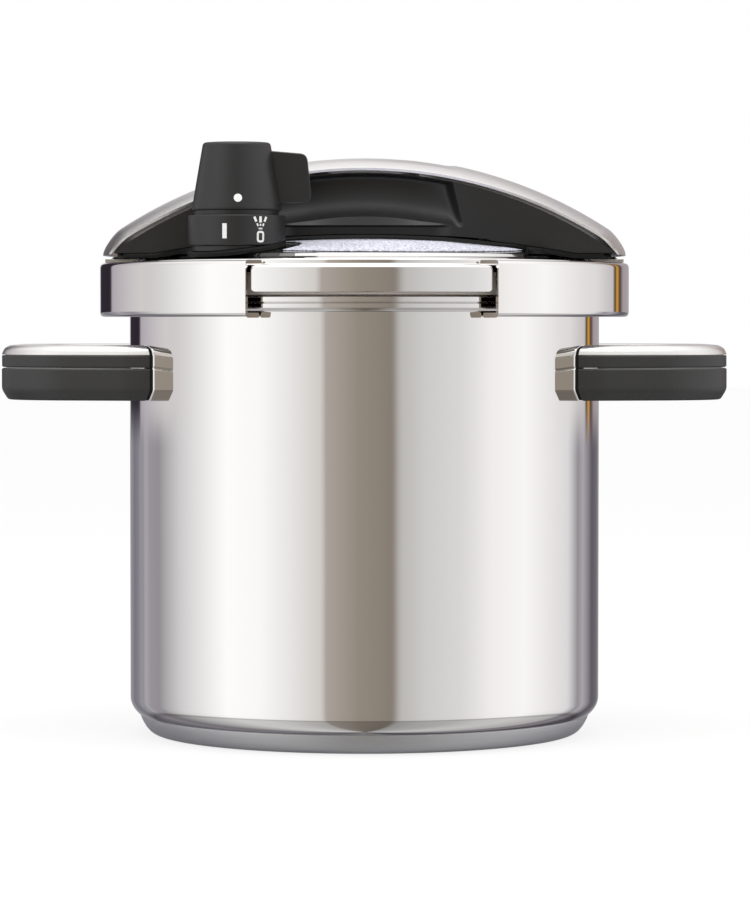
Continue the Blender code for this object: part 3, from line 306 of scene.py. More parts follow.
def addEffect(tree, shader, group, values, depth):
    # the effect's outputs go to the shader's colour, roughness and bump
    effect = addNode(tree, "ShaderNodeGroup", values, node_tree=group).outputs
    if "Color" in effect:
        tree.links.new(effect["Color"], shader.inputs["Base Color"])
    tree.links.new(effect["Roughness"], shader.inputs["Roughness"])
    bump = addNode(tree, "ShaderNodeBump", {"Distance": depth, "Strength": 1.0, "Height": effect["Height"]})
    tree.links.new(bump.outputs[0], shader.inputs["Normal"])


def brushedFinish(name, tone, across, roughness=0.3, contrast=0.14, depth=0.00002):
    mat, tree, shader = newFinish(name, tone, 1.0, roughness)
    addEffect(tree, shader, hairlines, {"Across": across, "Tone": (*tone, 1), "Contrast": contrast,
                                        "Roughness": roughness}, depth)
    return mat


def polishedFinish(name, tone, roughness=0.012, smears=0.03, wave=0.00025):
    mat, tree, shader = newFinish(name, tone, 1.0, roughness)
    addEffect(tree, shader, handling, {"Roughness": roughness, "Smears": smears}, wave)
    return mat


def plasticFinish(name, tone, roughness=0.45, scale=1500, depth=0.00004, gloss=0.5):
    mat, tree, shader = newFinish(name, tone, 0.0, roughness)
    shader.inputs["Specular IOR Level"].default_value = gloss
    addEffect(tree, shader, mouldGrain, {"Tone": (*tone, 1), "Roughness": roughness, "Scale": scale}, depth)
    return mat


def printedFinish(name, tone, roughness=0.7, gloss=0.12):
    # a pale lacquered foil with fine blank mottling
    mat, tree, shader = newFinish(name, tone, 0.0, roughness)
    shader.inputs["Specular IOR Level"].default_value = gloss
    fine = addNode(tree, "ShaderNodeGroup", {"Tone": (*tone, 1), "Roughness": roughness, "Scale": 820,
                                             "Lift": 0.5}, node_tree=mouldGrain).outputs
    speck = addNode(tree, "ShaderNodeMapRange", {"Value": fine["Height"], "From Min": 0.38, "From Max": 0.62,
                                                 "To Min": 0.5, "To Max": 1.1})
    tint = addVector(tree, "SCALE", fine["Color"], speck.outputs[0])
    tree.links.new(tint, shader.inputs["Base Color"])
    tree.links.new(fine["Roughness"], shader.inputs["Roughness"])
    return mat


finish = {
    "polished": polishedFinish("polishedSteel", (0.80, 0.785, 0.77)),
    "brushedLong": brushedFinish("brushedSteelLong", (0.76, 0.75, 0.735), (10, 900, 900)),
    "brushedAround": brushedFinish("brushedSteelAround", (0.60, 0.60, 0.615), (60, 60, 1500), 0.5),
    "zinc": brushedFinish("zincSteel", (0.62, 0.62, 0.63), (400, 400, 400), 0.32, 0.2),
    "spring": brushedFinish("springSteel", (0.55, 0.55, 0.56), (700, 700, 700), 0.25, 0.1),
    "brass": polishedFinish("turnedBrass", (0.78, 0.58, 0.28), 0.18, 0.12),
    "aluminium": brushedFinish("sandwichAluminium", (0.80, 0.81, 0.83), (300, 300, 300), 0.4),
    "foil": printedFinish("labelFoil", (0.66, 0.66, 0.75)),
    "black": plasticFinish("blackPlastic", (0.011, 0.011, 0.0113), 0.40),
    "blackHandle": plasticFinish("blackHandle", (0.019, 0.0185, 0.018), 0.42, 900, 0.00008),
    "pale": plasticFinish("palePrint", (0.72, 0.72, 0.71), 0.5, 1200, 0.00001),
    "nylon": plasticFinish("slidingNylon", (0.80, 0.78, 0.72), 0.35, 500, 0.00002),
    # the silicone tone is partly the seal's own colour and partly painted light: it is raised so that the
    # seal in the shaded gap under the lid's edge reads lit; the indicator bush shares it
    "silicone": plasticFinish("paintedLightSiliconeSeal", (0.42, 0.37, 0.33), 0.5, 700, 0.00002),
    # the carrier black is darker and less glossy than the other black plastic: painted shade, so the bridge
    # plate's edges stay dark; the spigots share it
    "paintedShadeCarrier": plasticFinish("paintedShadeCarrierPlastic", (0.006, 0.006, 0.006), 0.5, 1500, 0.00004, 0.15),
}
print("cooker: finishes ready")


def smoothStep(value, width):
    t = np.clip(value / width + 0.5, 0, 1)
    return t * t * (3 - 2 * t)


def gridQuads(rows, columns, wrapRows=False, wrapColumns=False):
    # each quad joins a point to its neighbours in the next row and the next column
    r = np.arange(rows if wrapRows else rows - 1)
    c = np.arange(columns if wrapColumns else columns - 1)
    r, c = np.meshgrid(r, c, indexing="ij")
    nextR, nextC = (r + 1) % rows, (c + 1) % columns
    quads = np.stack([r * columns + c, nextR * columns + c, nextR * columns + nextC, r * columns + nextC], -1)
    return quads.reshape(-1, 4)


def barFaces(rows, columns):
    # rings joined one after another, with the first and the last filled
    return [gridQuads(rows, columns, False, True), np.arange(columns)[::-1],
            np.arange(columns) + (rows - 1) * columns]


def fanFaces(rows, steps):
    # rings joined one after another and drawn to two poles, whose points come after the rings
    column = np.arange(steps)
    after = (column + 1) % steps
    last, pole = (rows - 1) * steps, rows * steps
    return [gridQuads(rows, steps, False, True), np.stack([np.full(steps, pole), column, after], -1),
            np.stack([np.full(steps, pole + 1), last + after, last + column], -1)]


def withPoles(points, profile):
    return np.vstack([points.reshape(-1, 3), [[0, 0, profile[0, 1]], [0, 0, profile[-1, 1]]]])


def enclosedVolume(points, faces):
    # sum of the tetrahedra that each face makes with the origin
    total = 0.0
    for face in faces:
        face = np.atleast_2d(face)
        for k in range(1, face.shape[1] - 1):
            a, b, c = points[face[:, 0]], points[face[:, k]], points[face[:, k + 1]]
            total += np.einsum("ij,ij->i", a, np.cross(b, c)).sum() / 6
    return total


def makePiece(name, points, faces, look, body, replaced=(), sharp=35, bevel=0.0):
    # faces is a list of index arrays; they are turned to point outwards by the sign of the volume
    points = np.asarray(points, float).reshape(-1, 3)
    if enclosedVolume(points - points.mean(0), faces) < 0:
        faces = [np.atleast_2d(f)[:, ::-1] for f in faces]
    mesh = bpy.data.meshes.new(name)
    mesh.from_pydata(points.tolist(), [], [f for block in faces for f in np.atleast_2d(block).tolist()])
    mesh.validate()
    mesh.shade_smooth()
    mesh.set_sharp_from_angle(angle=radians(sharp))
    mesh.materials.append(finish[look])
    obj = bpy.data.objects.new(name, mesh)
    bpy.context.collection.objects.link(obj)
    if bevel:
        edge = obj.modifiers.new("softEdges", "BEVEL")
        edge.width, edge.segments, edge.limit_method = bevel, 3, "ANGLE"
        edge.angle_limit = radians(50)
        edge.harden_normals = True
    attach(obj, body)
    if replaced:
        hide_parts(*replaced)
    return obj


def softCorners(corners, soft, count=5, closed=True):
    # each corner becomes a quadratic curve that begins and ends its own soft length from the corner
    corners = np.asarray(corners, float) * mm
    soft = np.broadcast_to(np.asarray(soft, float) * mm, len(corners))
    before = np.roll(corners, 1, 0) - corners
    after = np.roll(corners, -1, 0) - corners
    lengthBefore = np.linalg.norm(before, axis=1)
    lengthAfter = np.linalg.norm(after, axis=1)
    reach = np.minimum(np.maximum(soft, 1e-5), 0.49 * np.minimum(lengthBefore, lengthAfter))
    start = corners + before * (reach / lengthBefore)[:, None]
    end = corners + after * (reach / lengthAfter)[:, None]
    t = np.linspace(0, 1, count)[None, :, None]
    curve = (1 - t) ** 2 * start[:, None] + 2 * t * (1 - t) * corners[:, None] + t**2 * end[:, None]
    # one more point just outside each curve keeps the flat stretches flat when shaded
    holdBefore = np.minimum(0.15 * mm, 0.5 * (0.5 * lengthBefore - reach))
    holdAfter = np.minimum(0.15 * mm, 0.5 * (0.5 * lengthAfter - reach))
    lead = corners + before * ((reach + holdBefore) / lengthBefore)[:, None]
    tail = corners + after * ((reach + holdAfter) / lengthAfter)[:, None]
    curve = np.concatenate([lead[:, None], curve, tail[:, None]], 1)
    if closed:
        return curve.reshape(-1, 2)
    return np.vstack([corners[:1], curve[1:-1].reshape(-1, 2), corners[-1:]])


def denser(profile, longest=0.006, closed=True):
    # adds even points on any stretch of a profile longer than the limit
    ends = np.vstack([profile, profile[:1]]) if closed else profile
    steps = np.maximum(1, np.ceil(np.linalg.norm(np.diff(ends, axis=0), axis=1) / longest)).astype(int)
    index = np.repeat(np.arange(len(steps)), steps)
    within = np.arange(steps.sum()) - np.repeat(np.cumsum(steps) - steps, steps)
    t = (within / steps[index])[:, None]
    made = ends[index] * (1 - t) + ends[index + 1] * t
    return made if closed else np.vstack([made, ends[-1:]])


def turnedPoints(profile, angles):
    # (radius, height) carried round Z: x = r cos a, y = r sin a, z = height
    r, z = profile[:, 0][:, None], profile[:, 1][:, None]
    a = angles[None, :]
    return np.stack([r * np.cos(a), r * np.sin(a), z + 0 * a], -1)


def turned(name, profile, look, body, replaced=(), steps=96, at=(0, 0, 0), closed=True):
    # a closed profile makes a ring; an open one starts and ends on the axis
    angles = np.linspace(0, 2 * pi, steps, endpoint=False)
    rows = profile if closed else profile[1:-1]
    points = turnedPoints(rows, angles).reshape(-1, 3)
    faces = [gridQuads(len(rows), steps, True, True)] if closed else fanFaces(len(rows), steps)
    if not closed:
        points = withPoles(points, profile)
    return makePiece(name, points + np.asarray(at, float), faces, look, body, replaced)


def sweptSection(name, stations, section, look, body, replaced, endRadius):
    # section (sideways, height) carried along a level path; ends are cut on a cylinder about the pot's axis
    path = np.asarray(stations, float)
    tangent = np.gradient(path, axis=0)
    tangent /= np.linalg.norm(tangent, axis=1)[:, None]
    across = np.stack([tangent[:, 1], -tangent[:, 0]], -1)
    plan = path[:, None] + across[:, None] * section[None, :, 0, None]
    points = np.dstack([plan, np.broadcast_to(section[:, 1], plan.shape[:2])])
    for end in (0, -1):
        points[end, :, 0] = np.sign(path[end, 0]) * np.sqrt(endRadius**2 - points[end, :, 1] ** 2)
    return makePiece(name, points, barFaces(*points.shape[:2]), look, body, replaced)


def smoothCopy(node, look, body, sharp=32):
    # a CAD piece whose shape is right: its copy is merged and shaded smooth
    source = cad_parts[node]
    bm = bmesh.new()
    bm.from_mesh(source.data)
    bmesh.ops.remove_doubles(bm, verts=bm.verts, dist=1e-6)
    mesh = bpy.data.meshes.new(node + "Fine")
    bm.to_mesh(mesh)
    bm.free()
    mesh.materials.clear()
    mesh.materials.append(finish[look])
    mesh.shade_smooth()
    mesh.set_sharp_from_angle(angle=radians(sharp))
    obj = bpy.data.objects.new(node + "Fine", mesh)
    bpy.context.collection.objects.link(obj)
    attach(obj, body)
    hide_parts(node)
    return obj


pot = {
    "steps": 256, "radius": 111, "floor": 7.2, "under": 6,
    # quarter ellipses between floor and wall: centre, then half width and half height, outside and inside
    "outer": ((96.4, 17.2), (14.6, 11.2)), "inner": ((95.2, 17.2), (14.6, 10.0)),
    "rim": [(109.8, 206.1), (116, 206.1), (116, 203.3), (115.3, 202.95), (116, 202.6), (116, 200.2),
            (112.5, 200.4), (111, 199.4)],
    "rimSoft": [0.9, 0.8, 0.15, 0.1, 0.15, 0.7, 0.6, 0.8],
    "base": [(0, 1.0), (98.3, 1.0), (100.6, 2.7), (102.0, 5.0), (103.0, 7.2), (105.6, 8.9),
             (106.4, 8.9), (105.6, 6.6), (103.8, 3.4), (101.6, 1.0), (99.4, 0), (0, 0)],
    "baseSoft": [0, 1, 1, 1, 1, 0.3, 0.3, 1.6, 1.6, 1.2, 1.0, 0],
}


def makePot():
    t = np.linspace(0, pi / 2, 16)[:, None]
    outer, inner = (np.array(centre) + np.hstack([np.cos(t), -np.sin(t)]) * half
                    for centre, half in (pot["outer"], pot["inner"]))
    edge = softCorners([inner[0], *pot["rim"], outer[0]], [0, *pot["rimSoft"], 0], 10, closed=False)
    profile = np.vstack([[(0, pot["floor"] * mm)], inner[::-1] * mm, edge[1:-1], outer * mm,
                         [(0, pot["under"] * mm)]])
    profile = denser(profile, closed=False)
    turned("potBody", profile, "polished", "pot", ["pot_body"], pot["steps"], closed=False)
    profile = softCorners(pot["base"], pot["baseSoft"], 5, closed=False)
    turned("baseCap", profile, "brushedAround", "pot", ["base_cap"], pot["steps"], closed=False)
    smoothCopy("base_core", "aluminium", "pot")


makePot()
print("cooker: pot made")

handle = {
    "reach": 169, "halfWidth": 69.3, "armWidth": 23, "armStart": 104, "corner": 22, "bottom": 158.2,
    "split": 173.1, "shoulder": 179.1, "top": 183.6, "taperStart": 105, "taper": 0.00337,
    "endRadius": 0.1198, "collarRadius": 0.1184, "collarDip": 1.1, "collarSoft": 0.25, "spigotReach": 0.8,
}


def loopPath(side):
    # arm, quarter circle, bar, quarter circle, arm; all in plan at the middle of the grip
    armY = handle["halfWidth"] - handle["armWidth"] / 2
    barX = handle["reach"] - handle["armWidth"] / 2
    c = handle["corner"]
    a = np.linspace(-pi / 2, 0, 15)
    b = np.linspace(0, pi / 2, 15)
    straightX = np.linspace(handle["armStart"], barX - c, 12)[:-1]
    barY = np.linspace(-(armY - c), armY - c, 14)[1:-1]
    x = np.concatenate([straightX, barX - c + c * np.cos(a), 0 * barY + barX, barX - c + c * np.cos(b),
                        straightX[::-1]])
    y = np.concatenate([0 * straightX - armY, -(armY - c) + c * np.sin(a), barY, armY - c + c * np.sin(b),
                        0 * straightX + armY])
    # the arms draw together in proportion to the distance beyond the collars
    y = y * (1 - handle["taper"] * np.maximum(0, x - handle["taperStart"]))
    return np.stack([side * x, y], -1) * mm


def evenSection(half, soft, count=5):
    # the right half from bottom to top, mirrored, with its corners softened
    other = np.array(half)[::-1] * [-1, 1]
    return softCorners(np.vstack([half, other]), [*soft, *soft[::-1]], count)


def makeHandles():
    h = handle
    wide = h["armWidth"] / 2
    low = evenSection([(wide - 2.9, h["bottom"]), (wide, h["bottom"] + 4.7), (wide, h["split"] - 0.7),
                       (wide - 0.6, h["split"] - 0.2)], [1.2, 1.6, 0.3, 0.3])
    shoulder = h["shoulder"] - 0.3
    up = evenSection([(wide - 0.7, h["split"] + 0.2), (wide - 0.1, h["split"] + 0.7), (wide - 0.1, shoulder),
                      (wide - 1.5, shoulder), (wide - 2.35, shoulder + 2.3), (wide - 4.5, shoulder + 3.5)],
                     [0.3, 0.3, 0.4, 0.2, 0.3, 0.3])
    trimOut = [(wide, h["shoulder"]), (wide - 1.1, h["shoulder"] + 2.9), (wide - 4.1, h["top"])]
    trimIn = [(wide - 4.3, h["top"] - 0.9), (wide - 2, h["shoulder"] + 2.3), (wide - 1.2, h["shoulder"])]
    flip = lambda corners: [(-x, z) for x, z in corners[::-1]]
    trim = softCorners(trimOut + flip(trimOut) + flip(trimIn) + trimIn,
                       [0.3, 1.4, 1.4, 1.4, 1.4, 0.3, 0.2, 0.8, 0.8, 0.8, 0.8, 0.2], 6)
    parts = (("Lower", low, "blackHandle"), ("Upper", up, "blackHandle"), ("Trim", trim, "brushedLong"))
    for side, label in ((-1, "left"), (1, "right")):
        path = loopPath(side)
        for name, section, look in parts:
            grip = sweptSection(f"grip{name}{label.title()}", path, section, look, "pot",
                                [f"handle_{name.lower()}_{label}"], h["endRadius"])
            grip.visible_glossy = False
        for endSign, endName in ((-1, "front"), (1, "rear")):
            makeCollar(side, endSign, f"{label}_{endName}")
            smoothCopy(f"handle_bracket_{label}_{endName}", "brushedLong", "pot").visible_glossy = False
            smoothCopy(f"handle_screw_{label}_{endName}", "zinc", "pot").visible_glossy = False


def makeCollar(side, end, label):
    # a short steel sleeve in two steps, from the pot's wall to the grip's end, both cut on cylinders
    h = handle
    wide = h["armWidth"] / 2
    outer = evenSection([(wide - 2.9, h["bottom"]), (wide, h["bottom"] + 4.7), (wide, h["split"] - 0.6),
                         (wide - 0.35, h["split"] - 0.25), (wide - 0.35, h["split"] + 0.15),
                         (wide, h["split"] + 0.9), (wide, h["shoulder"] - 0.35),
                         (wide - 0.25, h["shoulder"] - 0.15), (wide - 0.25, h["shoulder"] + 0.1),
                         (wide - 1.1, h["shoulder"] + 2.9), (wide - 4.1, h["top"])],
                        [0.5, 0.8, 0.2, 0.05, 0.05, 0.2, 0.1, 0.05, 0.1, 1.4, 1.4], 4)
    inner = outer * [0.80, 1]
    middle = (h["bottom"] + h["top"]) / 2 * mm
    inner[:, 1] = middle + (outer[:, 1] - middle) * 0.84
    armY = end * (h["halfWidth"] - wide) * mm
    near, far = (pot["radius"] + 0.3) * mm, h["collarRadius"]
    spigotEnd = h["endRadius"] + h["spigotReach"] * mm

    def ring(section, radius, dip=0.0):
        # the upper lines of the sleeve fall slightly towards the pot
        y = armY + section[:, 0]
        share = np.clip((section[:, 1] / mm - h["bottom"] - 6) / 8, 0, 1)
        return np.stack([side * np.sqrt(radius**2 - y**2), y, section[:, 1] - dip * mm * share], -1)

    soft = h["collarSoft"] * mm
    inset = outer * [0.985, 1]
    drop = h["collarDip"]
    rings = [ring(outer, near, drop), ring(outer, (near + far) / 2, drop / 2), ring(outer, far - 2 * soft),
             ring(outer, far - soft), ring(inset, far), ring(inner, far), ring(inner, near)]
    columns = len(outer)
    name = "collar" + label.title().replace("_", "")
    sleeve = makePiece(name, np.stack(rings), [gridQuads(len(rings), columns, True, True)], "polished", "pot",
                       [f"handle_collar_{label}"])
    # the grips' black spigots fill the seam between sleeve and grip; they take the darkened carrier black,
    # painted shade
    slim = outer * [0.965, 1]
    slim[:, 1] = middle + (outer[:, 1] - middle) * 0.975
    rings = np.stack([ring(slim, far - soft), ring(slim, spigotEnd), ring(inner, spigotEnd),
                      ring(inner, far - soft)])
    spigot = makePiece(name.replace("collar", "spigot"), rings, [gridQuads(len(rings), columns, True, True)],
                       "paintedShadeCarrier", "pot")
    sleeve.visible_glossy = spigot.visible_glossy = False


makeHandles()
print("cooker: handles made")

lid = {
    "domeTop": 233.5, "domeEdge": 104.0, "sag": 10.0, "sheet": 1.2,
    "reach": (16, 32, 48, 60, 72, 80, 87, 92.6),
    "radius": 122.3, "skirtHalf": 54.2, "skirtTop": 219.8, "skirtBottom": 207.7, "insetRadius": 116.2,
    "insetStart": 111.0, "turn": radians(1.9), "corner": 2.2, "reliefZ": 216.5, "steps": 288,
    "seal": [(114.8, 218.2), (115.7, 217.2), (115.7, 206.5), (109.4, 206.5), (109.0, 204.6), (107.6, 204.2),
             (106.6, 208), (107.0, 213.5), (105.6, 216.2), (106.2, 218.2)],
}


def domeZ(radius):
    # a shallow paraboloid, in millimetres
    return lid["domeTop"] - lid["sag"] * (np.asarray(radius) / lid["domeEdge"]) ** 2


def makeLid():
    sheet, wide, high, foot = lid["sheet"], lid["radius"], lid["skirtTop"], lid["skirtBottom"]
    dome = [(0, lid["domeTop"])] + [(r, float(domeZ(r))) for r in lid["reach"]]
    edge = [(95.4, 223.7), (108.1, 222.8), (108.6, 219.9), (wide, high), (wide, foot), (wide - sheet, foot),
            (wide - sheet, 218.6), (107.6, 218.7), (107.0, 221.3), (95.0, 222.2)]
    corners = dome + edge + [(r, z - sheet) for r, z in dome[::-1]]
    soft = [0, *[6] * 6, 3, 0.5, 0.7, 0.8, 0.9, 1.9, 0.35, 0.35, 0.9, 0.8, 0.8, 0.5, 1.0, *[6] * 7, 0]
    profile = denser(softCorners(corners, soft, 7, closed=False), 0.005, closed=False)
    # away from front and rear the edge is drawn in and the skirt ends higher, to clear the jaws
    half = np.arcsin(lid["skirtHalf"] / wide)
    even = np.linspace(0, 2 * pi, lid["steps"], endpoint=False)
    near = np.concatenate([m + s * half + np.linspace(-0.028, 0.028, 45) for m in (pi / 2, 3 * pi / 2)
                           for s in (-1, 1)])
    angles = np.unique(np.round(np.concatenate([even, near]), 7))
    rows = profile[1:-1]
    r, z = rows[:, 0][:, None] / mm, rows[:, 1][:, None] / mm
    a = angles[None, :]
    off = lid["skirtHalf"] - np.abs(wide * np.cos(a))
    keep = smoothStep(off, 0.5)
    # quarter round at the panel's lower and upper corners, as rise = R - sqrt(R^2 - d^2)
    c = lid["corner"]
    low = c - np.sqrt(c**2 - np.clip(c - off, 0, c) ** 2)
    rounded = 0.6 * low * np.clip((r - 118) / 3, 0, 1)
    start = lid["insetStart"]
    drawn = start + (r - start) * (lid["insetRadius"] - start) / (wide - start)
    share = np.clip((z - foot) / (high - foot), 0, 1)
    floor = lid["reliefZ"] + (foot + low - lid["reliefZ"]) * keep
    moved = floor + share * (high - rounded * keep - floor)
    z = np.where((r > 112) & (z < high + 0.15), moved + np.maximum(z - high, 0), z + 0 * a)
    r = np.where(r > start, drawn + (r - drawn) * keep, r + 0 * a)
    a = a + lid["turn"]
    points = withPoles(np.stack([r * np.cos(a), r * np.sin(a), z + 0 * r], -1) * mm, profile)
    makePiece("lidShell", points, fanFaces(len(rows), len(angles)), "polished", "lid", ["lid_shell"],
              sharp=50)
    # the seal ring is drawn in the lightened silicone tone, painted light in the gap under the lid's edge
    turned("sealRing", softCorners(lid["seal"], 0.5, 4), "silicone", "lid", ["gasket"], 192)
    # the bridge plate takes the darkened carrier black, painted shade along its edges
    smoothCopy("bridge_plate", "paintedShadeCarrier", "lid", 40)
    smoothCopy("label_plate", "foil", "lid", 40)
    for node, look in (("valve_body", "brass"), ("valve_nut", "zinc"), ("valve_spring", "spring"),
                       ("indicator_bush", "silicone"), ("safety_valve_body", "brass"),
                       ("safety_valve_nut", "zinc"), ("safety_spring", "spring"),
                       ("jaw_spring_left", "spring"), ("jaw_spring_right", "spring")):
        smoothCopy(node, look, "lid")
    for corner in ("left_front", "left_rear", "right_front", "right_rear"):
        smoothCopy("bridge_screw_" + corner, "zinc", "lid")
    smoothCopy("valve_piston", "zinc", "regulator")
    smoothCopy("indicator_pin", "zinc", "indicator")
    smoothCopy("safety_plunger", "zinc", "safety")


makeLid()
print("cooker: lid made")

jaw = {"radius": 125, "sheet": 1.5, "top": 221.8, "bottom": 196.6, "lip": 112.2, "flange": 109.5,
       "halfAngle": 63.3, "steps": 150, "bevel": 0.0004}


def makeJaws():
    j = jaw
    t = j["sheet"]
    corners = [(j["flange"], j["top"]), (j["radius"], j["top"]), (j["radius"], j["bottom"]),
               (j["lip"], j["bottom"]), (j["lip"], j["bottom"] + t), (j["radius"] - t, j["bottom"] + t),
               (j["radius"] - t, j["top"] - t), (j["flange"], j["top"] - t)]
    section = softCorners(corners, [0.5, 2.4, 2.4, 0.5, 0.5, 1.0, 1.0, 0.5], 9)
    for side, label in ((-1, "left"), (1, "right")):
        middle = 0 if side > 0 else pi
        spread = radians(j["halfAngle"])
        angles = middle + lid["turn"] + np.linspace(-spread, spread, j["steps"])
        points = turnedPoints(section, angles)
        rows, columns = points.shape[:2]
        faces = [gridQuads(rows, columns, True, False), np.arange(rows) * columns,
                 (np.arange(rows) * columns + columns - 1)[::-1]]
        makePiece(f"jaw{label.title()}", points, faces, "polished", f"{label}_jaw", [f"jaw_{label}"],
                  bevel=j["bevel"])
        smoothCopy(f"jaw_arm_{label}", "brushedLong", f"{label}_jaw")
        smoothCopy(f"cam_shoe_{label}", "nylon", f"{label}_jaw")
        for end in ("front", "rear"):
            smoothCopy(f"jaw_rivet_{label}_{end}", "zinc", f"{label}_jaw")


makeJaws()
print("cooker: jaws made")

bridge = {
    "arc": 210.6, "arcCentre": 61.7, "halfWidth": 35, "endRadius": 123.5, "endBend": 8.5, "endZ": 225.4,
    "crown": 6.5, "sheet": 1.2, "slotLength": 26.5, "slotWidth": 11.5, "dip": 0.8, "dipHalf": 41.5,
    "dipWidth": 22, "bodyDrop": 8.6, "bodyHalf": 34.5, "bodyWall": 2.5, "bodyEnd": 117.0, "innerEnd": 112.6,
    "roundEnd": 121.3, "rise": 2.8, "scoopHalf": 42, "scoopEnd": 40.6, "scoopLean": 0.23, "scoopDepth": 9.0,
    "scoopFloor": 243.2, "scoopFall": 5.6, "lensLine": 239.2, "lensSet": 1.4, "footSet": 2.2,
}


def arcZ(x, inset=0.0):
    # height of the long arc at x
    return bridge["arcCentre"] + np.sqrt((bridge["arc"] - inset) ** 2 - np.asarray(x) ** 2)


def capZ(x, y):
    # the long arc, crowned across, turned down in a quarter round near the end circle
    edge = np.maximum(bridge["endRadius"] - np.hypot(x, y), 0)
    bend = np.clip(1 - edge / bridge["endBend"], 0, 1)
    crowned = arcZ(x) - bridge["crown"] * np.abs(y / bridge["halfWidth"]) ** 2.5
    dip = smoothStep(bridge["dipHalf"] - np.abs(x), 3) * smoothStep(bridge["dipWidth"] - np.abs(y), 8)
    crowned = crowned - bridge["dip"] * dip
    return bridge["endZ"] + (crowned - bridge["endZ"]) * np.sqrt(1 - bend**2)


def stadiumPoints(halfLength, halfWidth, angles):
    # the point of a round-ended slot that lies in each direction from its centre
    c, s = np.cos(angles), np.sin(angles)
    straight = halfLength - halfWidth
    flat = halfWidth / np.maximum(np.abs(s), 1e-9)
    onFlat = np.abs(flat * c) <= straight
    b = straight * np.abs(c)
    cap = b + np.sqrt(np.maximum(b**2 - straight**2 + halfWidth**2, 0))
    r = np.where(onFlat, flat, cap)
    return np.stack([r * c, r * s], -1)


def capOutline(angles):
    # long straight sides closed by the end circle
    c, s = np.cos(angles), np.sin(angles)
    side = bridge["halfWidth"] / np.maximum(np.abs(s), 1e-9)
    r = np.minimum(side, bridge["endRadius"])
    return np.stack([r * c, r * s], -1)


def makeCap():
    b = bridge
    corner = np.arcsin(b["halfWidth"] / b["endRadius"])
    even = np.linspace(0, 2 * pi, 420, endpoint=False)
    slotCorner = atan2(b["slotWidth"], b["slotLength"] - b["slotWidth"])
    near = np.concatenate([m + np.linspace(-0.03, 0.03, 13) for m in
                           (corner, pi - corner, pi + corner, -corner, slotCorner, -slotCorner)])
    angles = np.unique(np.round(np.mod(np.concatenate([even, near]), 2 * pi), 6))
    inner, outer = stadiumPoints(b["slotLength"], b["slotWidth"], angles), capOutline(angles)
    # spacing gets closer towards the outer edge, where the sheet turns down
    u = np.sin(np.linspace(0, pi / 2, 56)) ** 0.9
    plan = inner[None] * (1 - u[:, None, None]) + outer[None] * u[:, None, None]
    x, y = plan[..., 0], plan[..., 1]
    z = capZ(x, y)
    top = np.stack([x, y, z], -1)
    along = np.gradient(top, axis=0)
    around = np.roll(top, -1, 1) - np.roll(top, 1, 1)
    normal = np.cross(along, around)
    normal /= np.linalg.norm(normal, axis=2)[..., None] + 1e-12
    normal *= np.where(normal[..., 2:] < -1e-6, -1, 1)
    under = top - normal * b["sheet"]
    points = np.concatenate([top, under[::-1]]) * mm
    rows, columns = points.shape[:2]
    makePiece("bridgeCap", points, [gridQuads(rows, columns, True, True)], "brushedLong", "lid",
              ["bridge_cap"], sharp=45)


button = {"halfLength": 26, "halfWidth": 11, "below": 1.2, "crown": 0.25, "floor": 258,
          # from the middle of the top, over the soft edge, down the side and in to the middle underneath
          "scale": [0.0001, 0.3, 0.6, 0.85, 0.94, 0.975, 0.993, 1, 1, 1, 0.99, 0.5, 0.0001],
          "drop": [0, 0, 0, 0, 0, 0.12, 0.45, 1.0]}


def makeButton():
    angles = np.linspace(0, 2 * pi, 160, endpoint=False)
    outline = stadiumPoints(button["halfLength"], button["halfWidth"], angles)
    plan = outline[None] * np.array(button["scale"])[:, None, None]
    crest = arcZ(plan[..., 0], button["below"]) - button["crown"] * (plan[..., 1] / button["halfWidth"]) ** 2
    floor = button["floor"]
    topRows = len(button["drop"])
    z = np.full_like(crest, floor)
    z[:topRows] = crest[:topRows] - np.array(button["drop"])[:, None]
    z[topRows] = crest[topRows] * 0.4 + floor * 0.6
    z[topRows + 1] = floor + 0.3
    points = np.dstack([plan, z]) * mm
    makePiece("pressButton", points, barFaces(*z.shape), "brushedLong", "button", ["release_button"],
              sharp=40)
    smoothCopy("button_wedge", "brass", "button")


